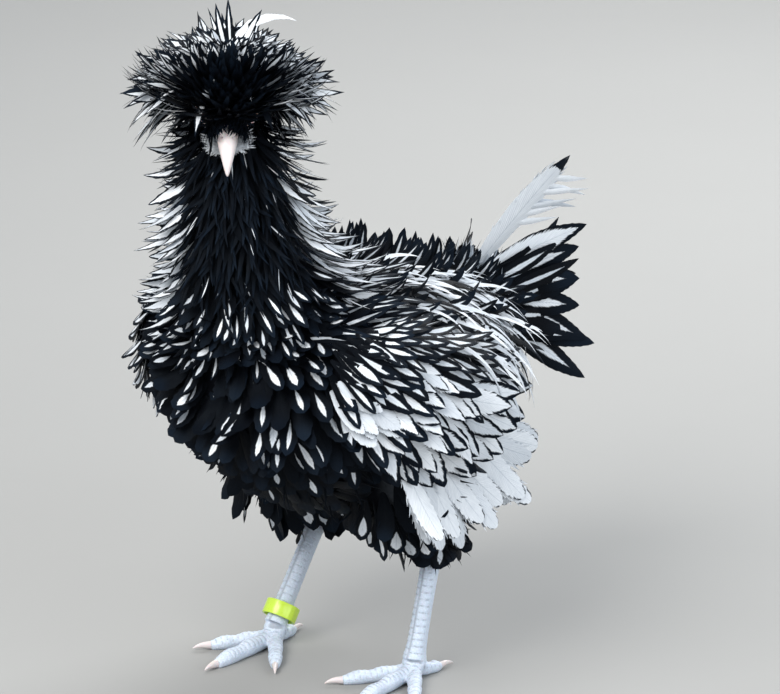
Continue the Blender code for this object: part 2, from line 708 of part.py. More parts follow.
def head_vanes(draw):
    """The beard under the bill and the muffs on the cheeks, in tapered locks."""
    form = Form(head_stations(), HEAD_LEFT)
    vanes = []
    for k, (t, first, last, count) in enumerate(HEAD_ROWS):
        for a in angles_of(first, last, count, k % 2):
            root, out = form.at(t, a), form.out(t, a)
            way = Vector((out.x * 0.5, out.y * 0.5, -1)) + FORWARD * (0.35 - 0.9 * t)
            along = lie_along(way, out)
            length = BEARD_LOCK[0] + 0.012 * t + draw.uniform(-0.002, 0.002)
            pose = (math.radians(38) + draw.uniform(-0.08, 0.08), math.radians(20), draw.uniform(-0.2, 0.2))
            vanes.append((root, along, out, (length,) + BEARD_LOCK[1:], pose, LANCE))
    for k, (t, first, last, count) in enumerate(NAPE_ROWS):
        for a in angles_of(first, last, count, k % 2):
            root, out = form.at(t, a), form.out(t, a)
            along = lie_along(Vector((0, 0, -1)) - FORWARD * 0.4, out)
            pose = (math.radians(42) + draw.uniform(-0.08, 0.08), math.radians(-10), draw.uniform(-0.2, 0.2))
            vanes.append((root, along, out, NAPE_FEATHER, pose, LANCE))
    return vanes


def crest_vanes(draw):
    """The globe crest, feather by feather, radiating from the knob of the skull."""
    turn = math.pi * (3 - math.sqrt(5))
    lean = Matrix.Rotation(math.radians(CREST_LEAN), 3, HEAD_LEFT)
    vanes = []
    for k in range(CREST_FEATHERS):
        height = 1 - (k + 0.5) / CREST_FEATHERS * 1.42
        flat = math.sqrt(1 - height * height)
        out = lean @ Vector((flat * math.cos(k * turn), flat * math.sin(k * turn), height))
        root = KNOB_CENTRE + out * KNOB_RADIUS * 0.96
        ahead = max(out.dot(FORWARD), 0.0)
        along = lie_along(Vector((out.x, out.y, -0.35)) - FORWARD * 0.25, out)
        shorter = 0.020 * max(height, 0) ** 2 + 0.012 * ahead
        length = CREST_FEATHER[0] - shorter + draw.uniform(-0.004, 0.004)
        lift = math.radians(84) - 0.12 * (1 - height) + draw.uniform(-0.08, 0.08)
        pose = (lift, math.radians(-16) + draw.uniform(-0.2, 0.2), draw.uniform(-0.5, 0.5))
        vanes.append((root, along, out, (length,) + CREST_FEATHER[1:], pose, LANCE))
    return vanes


def wing_vanes(draw, side):
    """The laced coverts in tiers, then the long flights fanned below and behind them."""
    form = Form([(side * r[0],) + r[1:] for r in WING])
    vanes = []
    for k, (t, first, last, count) in enumerate(WING_ROWS):
        for a in angles_of(first, last, count, k % 2):
            turned = a if side > 0 else math.pi - a
            root, out = form.at(t, turned), form.out(t, turned)
            slope = 0.35 + 0.55 * (1 - t) + 0.25 * max(-math.sin(a), 0)
            along = lie_along(Vector((side * 0.1, 1.0 - 0.3 * slope, -slope)), out)
            length = WING_COVERT[0] + draw.uniform(-0.003, 0.003)
            pose = (math.radians(9), math.radians(20) + draw.uniform(-0.05, 0.05), draw.uniform(-0.1, 0.1))
            vanes.append((root, along, out, (length,) + WING_COVERT[1:], pose, BROAD))
    for k in range(FLIGHTS):
        share = k / (FLIGHTS - 1)
        t = 0.40 + 0.34 * share
        dip = math.radians(74 - 46 * share)
        turned = math.radians(-80 + 12 * share)
        turned = turned if side > 0 else math.pi - turned
        root = form.at(t, turned)
        outward = Vector((side, 0, 0))
        along = Vector((side * (0.05 - 0.10 * share), math.cos(dip), -math.sin(dip))).normalized()
        out = lie_along(outward, along)
        length = FLIGHT[0] + 0.008 * share + draw.uniform(-0.002, 0.002)
        root = root - out * 0.0016 * (k % 2)
        vanes.append((root, along, out, (length,) + FLIGHT[1:], (0.04, 0.25, 0.0), QUILL))
    return vanes


def tail_vanes(draw):
    """The tail quills in a steep tent, highest on the left, with shorter coverts over their roots."""
    form = Form(TAIL)
    vanes = []
    for side, first, last, count in ((1, 47, -48, 6), (-1, 20, -44, 5)):
        for k in range(count):
            share = k / (count - 1)
            rise = math.radians(first + (last - first) * share)
            spread = math.radians(21 - 14 * math.sin(math.pi * share)) * side
            along = Vector((math.sin(spread), math.cos(spread) * math.cos(rise), math.sin(rise))).normalized()
            out = lie_along(Vector((side, 0, 0.15)), along)
            root = form.at(0.55, math.radians(90 - side * (20 + 140 * share)))
            length = TAIL_FEATHER[0] - 0.020 * math.sin(math.pi * share) + draw.uniform(-0.002, 0.002)
            if side < 0:
                length -= 0.010 * (1 - share)
            pose = (0.02, 0.22 + draw.uniform(-0.1, 0.1), 0.0)
            vanes.append((root, along, out, (length,) + TAIL_FEATHER[1:], pose, QUILL))
        for k in range(4):
            a = math.radians(90 - side * (20 + 45 * k))
            root, out = form.at(0.3, a), form.out(0.3, a)
            along = lie_along(Vector((side * 0.2, 1, 0.25 - 0.2 * k)), out)
            vanes.append((root, along, out, TAIL_COVERT, (0.3, 0.55, 0.0), BROAD))
    return vanes


def thigh_vanes(draw, side):
    """The soft feathers of the thigh, which hang back and down to the hock."""
    form = Form(LEFT_THIGH if side > 0 else RIGHT_THIGH)
    vanes = []
    for k, (t, first, last, count) in enumerate(THIGH_ROWS):
        for a in angles_of(first, last, count, k % 2):
            root, out = form.at(t, a), form.out(t, a)
            along = lie_along(Vector((out.x * 0.3, 0.25, -1)), out)
            length = THIGH_FEATHER[0] - 0.012 * t + draw.uniform(-0.002, 0.002)
            pose = (math.radians(18), math.radians(22) + draw.uniform(-0.1, 0.1), draw.uniform(-0.15, 0.15))
            vanes.append((root, along, out, (length,) + THIGH_FEATHER[1:], pose, BROAD))
    return vanes


def add_feathers(nodes):
    """Plants every node's vanes in turn, each clear of the nodes beside it."""
    draw = random.Random(SEED)
    trees = {name: tree_of(made) for name, made in nodes.items()}
    plan = [
        ("wing_left", wing_vanes(draw, 1)),
        ("wing_right", wing_vanes(draw, -1)),
        ("tail", tail_vanes(draw)),
        ("head", head_vanes(draw)),
        ("crest", crest_vanes(draw)),
        ("neck", neck_vanes(draw)),
        ("torso", torso_vanes(draw)),
        ("thigh_left", thigh_vanes(draw, 1)),
        ("thigh_right", thigh_vanes(draw, -1)),
    ]
    for name, vanes in plan:
        cover(name, vanes, trees, nodes[name])


def main():
    for old in list(bpy.data.objects):
        bpy.data.objects.remove(old)
    nodes = build_cores()
    add_ring(nodes)
    add_feathers(nodes)
    finish(nodes)


main()
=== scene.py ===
"""Dresses the solid hen: one skin, laced and curled feathers, bill, lidded eyes, scaled legs and leg ring.
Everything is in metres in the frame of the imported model: the hen faces -Y and stands on Z = 0."""

import math
import random

import bmesh
import bpy
import numpy as np
from bpy.props import FloatProperty, FloatVectorProperty, IntProperty, PointerProperty
from mathutils import Matrix, Vector


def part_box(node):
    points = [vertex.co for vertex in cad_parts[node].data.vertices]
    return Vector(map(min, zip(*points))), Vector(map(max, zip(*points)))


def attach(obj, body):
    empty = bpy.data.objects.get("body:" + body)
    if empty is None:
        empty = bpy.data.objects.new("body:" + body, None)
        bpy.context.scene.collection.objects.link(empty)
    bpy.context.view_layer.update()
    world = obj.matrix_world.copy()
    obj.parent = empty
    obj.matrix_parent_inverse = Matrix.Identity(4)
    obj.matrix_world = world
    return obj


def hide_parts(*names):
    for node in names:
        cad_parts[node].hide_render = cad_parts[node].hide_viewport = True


bl_info = {
    "name": "Polish Crested Hen",
    "version": (1, 0, 0),
    "blender": (4, 5, 0),
    "location": "View3D > Sidebar > Hen",
    "description": "Dresses the solid hen with skin, feathers, bill, eyes, scaled legs and a leg ring",
    "category": "Add Mesh",
}

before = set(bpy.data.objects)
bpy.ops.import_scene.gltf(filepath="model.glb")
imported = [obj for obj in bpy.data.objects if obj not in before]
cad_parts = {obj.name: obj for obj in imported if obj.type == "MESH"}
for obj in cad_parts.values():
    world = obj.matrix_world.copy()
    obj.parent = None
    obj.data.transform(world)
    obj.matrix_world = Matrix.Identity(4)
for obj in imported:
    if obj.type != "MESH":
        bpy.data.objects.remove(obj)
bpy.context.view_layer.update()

UP = Vector((0, 0, 1))
LEFT = Vector((1, 0, 0))
SIDES = (1, -1)
HANDS = {1: "left", -1: "right"}

# The head's place and turn, as in the solids
HEAD_CENTRE = Vector((0.011, -0.127, 0.3825))
HEAD_YAW = 38
HEAD_PITCH = 40
KNOB_RADIUS = 0.018
EYE_RADIUS = 0.0058
EYE_PLACE = (0.0080, 0.0128, 0.0030)
SHANK_RADIUS = 0.0056
TOE_RADIUS = 0.0046
CLAW_LENGTH = 0.011
SCUTE_LENGTH = 0.0034
RING_RADIUS = 0.0104
RING_WALL = 0.0014
RING_HEIGHT = 0.009
RING_LIFT = 0.0085

# Stations of each form in millimetres: centre x, y, z, half width, half height above and below the centre
TORSO = (
    (0, -121, 216, 12, 14, 14), (0, -114, 215, 36, 34, 32), (0, -96, 209, 60, 50, 49),
    (0, -62, 198, 73, 62, 68), (0, -20, 186, 76, 63, 76), (0, 24, 182, 69, 55, 65),
    (0, 60, 184, 53, 41, 46), (0, 84, 189, 37, 29, 33), (0, 97, 193, 28, 22, 24),
)
NECK = (
    (0, -70, 214, 56, 44, 44), (1, -88, 247, 44, 38, 40), (4, -103, 281, 33, 31, 32),
    (7, -112, 314, 26, 25, 26), (9, -117, 345, 21, 20, 21), (10, -120, 367, 14.5, 14, 14.5),
)
TAIL = (
    (0, 97.4, 193, 26, 21, 22), (0, 110, 198, 23, 20, 19), (0, 121, 204, 17, 15, 14), (0, 128, 208, 8, 7, 7),
)
WING = (
    (63, -99, 224, 6, 10, 10), (71, -88, 219, 13, 24, 26), (78, -60, 208, 15, 30, 36),
    (79, -24, 196, 14, 28, 38), (73, 12, 188, 13, 23, 32), (64, 40, 186, 10, 16, 20), (58, 53, 186, 4, 6, 6),
)
THIGHS = {
    1: ((40, -16, 165, 34, 40, 36), (46, -14, 135, 33, 37, 34), (51, -2, 110, 24, 27, 25),
        (53, 9, 93, 15, 16, 15), (53, 14, 84, 9.5, 10.5, 9.5)),
    -1: ((-40, -10, 165, 34, 40, 36), (-45, -2, 135, 33, 37, 34), (-48, 18, 109, 24, 27, 25),
         (-49, 34, 90, 15, 16, 15), (-49, 41, 80, 9.5, 10.5, 9.5)),
}
ANKLES = {1: Vector((0.051, -0.003, 0.0125)), -1: Vector((-0.050, -0.008, 0.0125))}

# Stations in the head's own directions, in millimetres: forward, up, half width, half height above and below
SKULL = (
    (21.5, -1, 7.5, 7.8, 7.5), (15.5, 0, 12.5, 12.5, 11.5), (6, 2, 16.5, 15.5, 16),
    (-6, 3, 17.5, 16, 18.5), (-17, 2, 14.5, 14, 16.5), (-23, 1, 7, 7, 8),
)
UPPER_BILL = (
    (18, 1.5, 7.8, 6.6, 3), (25, 1.8, 6.8, 6.4, 3.4), (33, 0.8, 5, 4.8, 3.7),
    (40, -1.6, 3.2, 3.2, 3.4), (45.5, -5.2, 1.4, 1.5, 1.7), (47, -7.4, 0.4, 0.4, 0.5),
)
LOWER_BILL = (
    (18, -5.2, 6.2, 2.4, 3.2), (26, -4.9, 5.2, 2, 3.2), (34, -5, 3.7, 1.2, 2.8),
    (40.5, -6.8, 1.8, 0.5, 1.5), (42.8, -7.7, 0.5, 0.2, 0.5),
)

# Place along the shank or a toe, and its share of the radius there
SHANK_SHAPE = ((0.0, 1.55), (0.1, 1.4), (0.22, 1.05), (0.5, 0.98), (0.8, 1.02), (0.93, 1.12), (1.0, 1.3))
TOE_SHAPE = ((0.0, 1.2), (0.25, 1.0), (0.45, 1.1), (0.6, 0.92), (0.78, 1.02), (0.92, 0.8), (1.0, 0.62))
CLAW_SHAPE = ((-0.15, 1.0), (0.0, 1.0), (0.35, 0.8), (0.7, 0.5), (1.0, 0.10))

# Toe name, turn from straight ahead in degrees, length and radius share
TOES = (
    ("inner", 38, 0.040, 0.92), ("middle", 2, 0.054, 1.0),
    ("outer", -38, 0.044, 0.92), ("hind", 172, 0.021, 0.8),
)

FLESH = ("torso", "neck", "head", "crest", "tail", "wing_left", "wing_right", "thigh_left", "thigh_right",
         "shank_left", "shank_right", "foot_left", "foot_right")

# Share of the width at each share of a vane's length
BROAD = ((0.0, 0.30), (0.30, 0.86), (0.52, 1.0), (0.70, 0.90), (0.84, 0.64), (0.93, 0.38), (1.0, 0.05))
LANCE = ((0.0, 0.35), (0.3, 0.90), (0.5, 1.0), (0.75, 0.66), (1.0, 0.05))
QUILL = ((0.0, 0.16), (0.25, 0.72), (0.55, 1.0), (0.78, 0.93), (0.90, 0.66), (0.97, 0.34), (1.0, 0.10))
TAIL_QUILL = ((0.0, 0.16), (0.25, 0.75), (0.5, 1.0), (0.7, 0.86), (0.86, 0.50), (0.95, 0.22), (1.0, 0.03))
WISP = ((0.0, 0.8), (0.4, 1.0), (1.0, 0.1))

# Markings: half width of the white, where it starts and ends along the vane, and for some the tone
BREAST_MARK = (0.40, 0.46, 0.92)
BACK_MARK = (0.34, 0.28, 0.90)
COVERT_MARK = (1.42, -1.0, 0.985)
SMALL_COVERT_MARK = (0.52, 0.16, 0.93)
HACKLE_MARK = (1.15, -1.0, 0.97)
CAPE_MARK = (0.32, 0.20, 0.90)
CREST_MARK = (0.76, 0.32, 0.93)
BROAD_CREST_MARK = (1.1, 0.15, 0.97)
THIGH_MARK = (0.62, 0.50, 0.93)
DARK_MARK = (-0.2, 0.0, 1.0)
SADDLE_MARK = (2.0, -1.0, 1.15)
FLIGHT_MARK = (1.5, -1.0, 1.2)
PLAIN_WHITE = (*FLIGHT_MARK, 0.3)
TAIL_MARK = (0.42, 0.06, 0.88)
SICKLE_MARK = (0.42, 0.0, 0.86)
FLUFF_MARK = (3.0, -1.0, 2.0, -0.9)
PALE_TAIL_MARK = (1.25, -1.0, 0.93)
HIGHEST_MARK = (3.0, -1.0, 0.89)
WHITE_BARB = (3.0, -1.0, 2.0)

# The photo's way to the right, and from the hen to the camera
VIEW_RIGHT = Vector((0.788, 0.616, 0))
VIEW_BACK = Vector((0.582, -0.745, 0.326))

# Crest feathers that stand out of it in the photo: tilt to the right at the root in degrees, length, width,
# sway to the right in radians, and mark
STRAY_CREST = (
    (-20, 0.058, 0.0060, 2.35, (1.6, -1.0, 1.1)),
    (-20, 0.041, 0.0060, 0.2, (0.48, 0.25, 0.93)),
    (-5, 0.043, 0.0056, 0.05, (0.36, 0.30, 0.92)),
    (16, 0.040, 0.0066, 0.3, (0.60, 0.25, 0.95)),
)

# The side of the breast and belly where feathers are shorter, to the lower left of the photo
TUCKED_WAY = Vector((-0.60, -0.45, -0.66))

# Middle and reach of the patch of unlaced white feathers before the left wing
WHITE_PATCH = Vector((0.075, -0.095, 0.208))
PATCH_REACH = 0.0105

# Rise in degrees of the tail quills of each side, from the highest down
TAIL_RISES = {1: (55, 16, 6, -2, -9, -17, -26, -36, -46), -1: (2, -4, -9, -15, -22, -29, -36, -44)}

# Millimetres of lens for each metre of distance, which keeps the hen at the photo's size
LENS_PER_METRE = 77.6

# Height above the floor that the lights point at
HEN_MIDDLE = 0.25

# Side of each feather's patch on the bake map
BAKE_PATCH = 0.003

# Rings at which a form is checked for a point inside it
RINGS_CHECKED = 18


def axes_of_head():
    """The head's forward, left and up directions and its level facing, from its turn and downward nod."""
    yaw, pitch = math.radians(HEAD_YAW), math.radians(HEAD_PITCH)
    level = Vector((math.sin(yaw), -math.cos(yaw), 0))
    forward = level * math.cos(pitch) - UP * math.sin(pitch)
    left = Vector((math.cos(yaw), math.sin(yaw), 0))
    return forward, left, forward.cross(left), level


FORWARD, HEAD_LEFT, HEAD_UP, FACING = axes_of_head()

# The way out of the crest, over the face, where its feathers are black: partly their own black, partly
# painted shadow of the shaded feather bases at the front of the crest
DARK_AND_SHADOW_WAY = (FORWARD + HEAD_UP * 0.5).normalized()


def head_point(forward, left, up):
    """A point given along the head's own directions, from the head's centre."""
    return HEAD_CENTRE + FORWARD * forward + HEAD_LEFT * left + HEAD_UP * up


def eye_at(side):
    """The middle of one eye."""
    return head_point(EYE_PLACE[0], side * EYE_PLACE[1], EYE_PLACE[2])


def packed_shift():
    """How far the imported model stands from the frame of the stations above, read off the left eye."""
    low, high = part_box("eye_left")
    return (low + high) / 2 - eye_at(1)


KNOB_CENTRE = head_point(-0.004, 0, 0.021)
CREST_CENTRE = KNOB_CENTRE - UP * 0.008
SHIFT = packed_shift()


def ramp(value, start, slope):
    """Rises from 0 to 1 at the slope, from where the value passes the start."""
    return min(max((value - start) * slope, 0), 1)


def metres(stations):
    """Stations given in millimetres, in metres."""
    return [tuple(n / 1000 for n in row) for row in stations]


def on_head(stations):
    """Stations given along the head's own directions, in place."""
    return [(*head_point(forward, 0, up), *sizes) for forward, up, *sizes in metres(stations)]


class Form:
    """A smooth body of oval rings round a curved centre line, read at any length t and angle a."""

    def __init__(self, stations, side=LEFT, turn=0.0):
        self.rows = np.array(stations, float)
        self.side = side
        self.turn = math.radians(turn)
        self.gap = self.length() / RINGS_CHECKED * 0.6

    def row(self, t):
        """The station at t from 0 to 1, on a Catmull-Rom curve through the given ones."""
        last = len(self.rows) - 1
        at = min(max(t, 0.0), 1.0) * last
        i = min(int(at), last - 1)
        f = at - i
        p = [self.rows[min(max(i + k, 0), last)] for k in (-1, 0, 1, 2)]
        bend = 2 * p[0] - 5 * p[1] + 4 * p[2] - p[3]
        twist = 3 * (p[1] - p[2]) + p[3] - p[0]
        return 0.5 * (2 * p[1] + (p[2] - p[0]) * f + bend * f * f + twist * f ** 3)

    def axes(self, t):
        """Centre, direction of travel, side and upper direction at t."""
        step = 0.01
        centre = Vector(self.row(t)[:3])
        along = (Vector(self.row(min(t + step, 1))[:3]) - Vector(self.row(max(t - step, 0))[:3])).normalized()
        side = lie_along(Matrix.Rotation(self.turn * t, 3, "Z") @ self.side, along)
        return centre, along, side, side.cross(along)

    def at(self, t, a, grow=0.0):
        """The point of the skin at length t and angle a, where 0 is the side and a quarter turn the top."""
        centre, _, side, top = self.axes(t)
        _, _, _, wide, high, low = self.row(t)
        tall = high if math.sin(a) > 0 else low
        return centre + side * math.cos(a) * (wide + grow) + top * math.sin(a) * (tall + grow)

    def out(self, t, a):
        """The outward direction of the skin there."""
        step = 0.02
        round_it = self.at(t, a + step) - self.at(t, a - step)
        run = self.at(min(t + step, 1), a) - self.at(max(t - step, 0), a)
        outward = round_it.cross(run).normalized()
        return outward if outward.dot(self.at(t, a) - self.axes(t)[0]) > 0 else -outward

    def length(self):
        """The length of the centre line."""
        steps = 24
        points = [Vector(self.row(k / steps)[:3]) for k in range(steps + 1)]
        return sum((b - a).length for a, b in zip(points, points[1:]))

    def holds(self, place):
        """Whether a point lies inside, checked at rings that each stand for a slice of the form."""
        for k in range(RINGS_CHECKED + 1):
            centre, along, side, top = self.axes(k / RINGS_CHECKED)
            _, _, _, wide, high, low = self.row(k / RINGS_CHECKED)
            away = place - centre
            tall = high if away.dot(top) > 0 else low
            near = abs(away.dot(along)) <= self.gap
            if near and (away.dot(side) / wide) ** 2 + (away.dot(top) / tall) ** 2 < 1:
                return True
        return False

    def loft(self, bm, rings, around, grow=0.0):
        """Bridges rings of this form inside the bmesh, closed at both ends."""
        before = []
        for k in range(rings):
            closed = k in (0, rings - 1)
            circle = bmesh.ops.create_circle(bm, segments=around, radius=1, cap_ends=closed)["verts"]
            for v in circle:
                v.co = self.at(k / (rings - 1), math.atan2(v.co.y, v.co.x), grow)
            here = list({e for v in circle for e in v.link_edges})
            if before:
                bmesh.ops.bridge_loops(bm, edges=before + here)
            before = here


def lie_along(way, out):
    """The wanted way laid into the skin's tangent plane."""
    return (way - out * way.dot(out)).normalized()


TORSO_FORM = Form(metres(TORSO))
NECK_FORM = Form(metres(NECK), LEFT, HEAD_YAW)
TAIL_FORM = Form(metres(TAIL))
HEAD_FORM = Form(on_head(SKULL), HEAD_LEFT)
WING_FORMS = {side: Form([(side * x, *rest) for x, *rest in metres(WING)]) for side in SIDES}
THIGH_FORMS = {side: Form(metres(THIGHS[side])) for side in SIDES}


def tract(form, first, last, gap_along, gap_round, low, high, draw, jitter, mirrored=False):
    """Feather roots in staggered rows over part of a form: length, angle, root, way out and bake spot."""
    rows = max(int(form.length() * (last - first) / gap_along), 1)
    spots = []
    for k in range(rows + 1):
        t = first + (last - first) * k / rows
        _, _, _, wide, tall, deep = form.row(t)
        girth = 2 * math.pi * math.sqrt((wide * wide + (tall + deep) ** 2 / 4) / 2)
        count = max(int(girth * (high - low) / 360 / gap_round), 1)
        for m in range(count):
            share = (m + (0.75 if k % 2 else 0.25) + draw.uniform(-jitter, jitter)) / count
            place = min(max(t + draw.uniform(-jitter, jitter) * (last - first) / rows, 0.01), 0.99)
            a = math.radians(low + (high - low) * share)
            turned = math.pi - a if mirrored else a
            spot = (place, a / math.tau % 1)
            spots.append((place, a, form.at(place, turned), form.out(place, turned), spot))
    return spots


def fill(data, key, values, kind=np.float32):
    """Sets one field of all elements of a mesh layer."""
    data.foreach_set(key, np.asarray(values, kind).reshape(-1))


def note(mesh, name, values, kind="FLOAT", key="value"):
    """Adds a named value to each point of a mesh."""
    fill(mesh.attributes.new(name, kind, "POINT").data, key, values)


def linked(name, data):
    """A mesh, light or camera as an object of the scene."""
    made = bpy.data.objects.new(name, data)
    bpy.context.scene.collection.objects.link(made)
    return made


def column(values):
    """Numbers, one for each feather, ready to scale its vectors."""
    return values[:, None]


class Plumes:
    """A list of feathers to grow: where each starts, how it lies, its size, bend and markings."""

    def __init__(self):
        self.rows = []

    def add(self, root, way, out, size, pose, mark, spot):
        """Size is length, width, thickness and sunk root. Pose is lift, curl, roll and sideways sway.

        Mark is the white's half width, where it starts and ends along the vane, and the tone. Spot is the
        root's place on the unwrapped skin."""
        self.rows.append((*root, *lie_along(way, out), *out, *size, *pose, *mark, *spot))

    def grow(self, name, outline, segments, camber=0.16, notch=0.0, sweep=0.5):
        """One joined object of closed vanes, all from one template, with their maps and markings."""
        data = np.array(self.rows, float)
        root, level, out = data[:, 0:3], data[:, 3:6], data[:, 6:9]
        length, width, thick, sink = data[:, 9:13].T
        lift, curl, roll, sway = data[:, 13:17].T
        side = np.cross(level, out)
        cosine, sine = column(np.cos(roll)), column(np.sin(roll))
        side = side * cosine + np.cross(out, side) * sine
        level = level * cosine + np.cross(out, level) * sine

        def heading_at(share):
            """The vane's heading and its sideways beam, after it has bent up and sideways."""
            angle = lift + curl * share ** 1.4
            yaw = sway * share
            flat = level * column(np.cos(yaw)) + side * column(np.sin(yaw))
            beam = side * column(np.cos(yaw)) - level * column(np.sin(yaw))
            return flat * column(np.cos(angle)) + out * column(np.sin(angle)), beam

        shares = np.linspace(0, 1, segments + 1)
        across = np.array((-1.0, -0.5, 0.0, 0.5, 1.0, 0.0))
        place = root - (level * column(np.cos(lift)) + out * column(np.sin(lift))) * column(sink)
        points = []
        before = 0.0
        for j, share in enumerate(shares):
            heading, _ = heading_at((share + before) / 2)
            place = place + heading * column((length + sink) * (share - before))
            if j == segments:
                points.append(place[:, None, :])
                break
            heading, beam = heading_at(share)
            above = np.cross(beam, heading)
            half = width / 2 * np.interp(share, *zip(*outline))
            cut = 1 - notch * (j % 2) * min(share * 1.6, 1.0)
            reach = np.abs(across) ** 1.5 * sweep * (1 if j % 2 else 1.25)
            rise = camber * (1 - across ** 2) * (1 - 0.5 * share)
            ring = place[:, None, :]
            wide = across * np.where(np.abs(across) == 1, cut, 1)
            for way, amount in ((beam, wide), (heading, reach), (above, rise)):
                ring = ring + way[:, None, :] * (column(half) * amount)[:, :, None]
            ring[:, 5, :] -= above * column(thick * (1 - 0.6 * share))
            points.append(ring)
            before = share
        faces, uv = template(segments, shares, across)
        return joined(name, np.concatenate(points, axis=1), faces, uv, data[:, 17:21], data[:, 21:23])


def template(segments, shares, across):
    """The faces of one vane, as corner numbers, and the place of each corner on the vane's own map."""
    sides = ((0, 1), (1, 2), (2, 3), (3, 4), (4, 5), (5, 0))
    faces = []
    for j in range(segments - 1):
        for k, m in sides:
            a, b = 6 * j + k, 6 * j + m
            faces += [(a, b, b + 6), (a, b + 6, a + 6)]
    last = 6 * (segments - 1)
    faces += [(last + k, last + m, last + 6) for k, m in sides]
    faces += [(k + 1, k, 5) for k in range(4)]
    uv = [((x + 1) / 2, share) for share in shares[:-1] for x in across] + [(0.5, 1.0)]
    return np.array(faces, np.int32), np.array(uv, float)


def joined(name, points, faces, uv, marks, spots):
    """All the vanes as one mesh, with the vane map, the bake map and the mark of each feather."""
    count, corners, _ = points.shape
    mesh = bpy.data.meshes.new(name)
    index = (np.arange(count)[:, None, None] * corners + faces[None]).reshape(-1)
    mesh.vertices.add(count * corners)
    fill(mesh.vertices, "co", points + np.array(SHIFT))
    mesh.loops.add(len(index))
    fill(mesh.loops, "vertex_index", index, np.int32)
    mesh.polygons.add(len(index) // 3)
    fill(mesh.polygons, "loop_start", np.arange(0, len(index), 3), np.int32)
    mesh.update(calc_edges=True)
    of_loop = np.tile(uv[faces.reshape(-1)], (count, 1))
    placed = np.repeat(spots * (1 - BAKE_PATCH), faces.size, axis=0) + of_loop * BAKE_PATCH
    for layer, values in (("vane", of_loop), ("OFBake", placed)):
        fill(mesh.uv_layers.new(name=layer).data, "uv", values)
    note(mesh, "mark", np.repeat(marks[:, :3], corners, axis=0), "FLOAT_VECTOR", "vector")
    note(mesh, "tone", np.repeat(marks[:, 3], corners))
    mesh.shade_smooth()
    mesh.set_sharp_from_angle(angle=math.radians(55))
    return linked(name, mesh)


def base_mesh(name, bm):
    """The closed bmesh as an object in its place, its faces turned outwards."""
    bmesh.ops.recalc_face_normals(bm, faces=bm.faces)
    bmesh.ops.translate(bm, verts=bm.verts, vec=SHIFT)
    mesh = bpy.data.meshes.new(name)
    bm.to_mesh(mesh)
    bm.free()
    mesh.shade_smooth()
    return linked(name, mesh)


def fused(made, voxel, smoothing):
    """The object remeshed into one surface and smoothed, with the modifiers applied."""
    remesh = made.modifiers.new("fuse", "REMESH")
    remesh.mode = "VOXEL"
    remesh.voxel_size = voxel
    remesh.use_smooth_shade = True
    soften = made.modifiers.new("soften", "SMOOTH")
    soften.factor = 0.5
    soften.iterations = smoothing
    bpy.context.view_layer.update()
    seen = made.evaluated_get(bpy.context.evaluated_depsgraph_get())
    made.data = bpy.data.meshes.new_from_object(seen)
    made.modifiers.clear()
    made.data.shade_smooth()
    return made


def merge(name, parts):
    """Several objects as one."""
    bm = bmesh.new()
    for part in parts:
        bm.from_mesh(part.data)
    mesh = bpy.data.meshes.new(name)
    bm.to_mesh(mesh)
    bm.free()
    for part in parts:
        for finish in part.data.materials:
            if finish and finish.name not in mesh.materials:
                mesh.materials.append(finish)
        bpy.data.objects.remove(part)
    mesh.shade_smooth()
    return linked(name, mesh)


def settle(made, finish, slot, *nodes):
    """Gives a piece its finish and its body, and hides the solids it stands for. The slot is not used."""
    if finish:
        made.data.materials.clear()
        made.data.materials.append(finish)
    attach(made, "root")
    if nodes:
        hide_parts(*nodes)


class Value:
    """A socket in a node material, with sums written as for numbers."""

    def __init__(self, finish, socket):
        self.finish = finish
        self.socket = socket

    def __add__(self, other):
        return self.finish.math("ADD", self, other)

    def __sub__(self, other):
        return self.finish.math("SUBTRACT", self, other)

    def __rsub__(self, other):
        return self.finish.math("SUBTRACT", other, self)

    def __mul__(self, other):
        return self.finish.math("MULTIPLY", self, other)

    def __truediv__(self, other):
        return self.finish.math("DIVIDE", self, other)

    def __pow__(self, other):
        return self.finish.math("POWER", self, other)

    def clamped(self):
        """The same sum, kept from 0 to 1."""
        self.socket.node.use_clamp = True
        return self


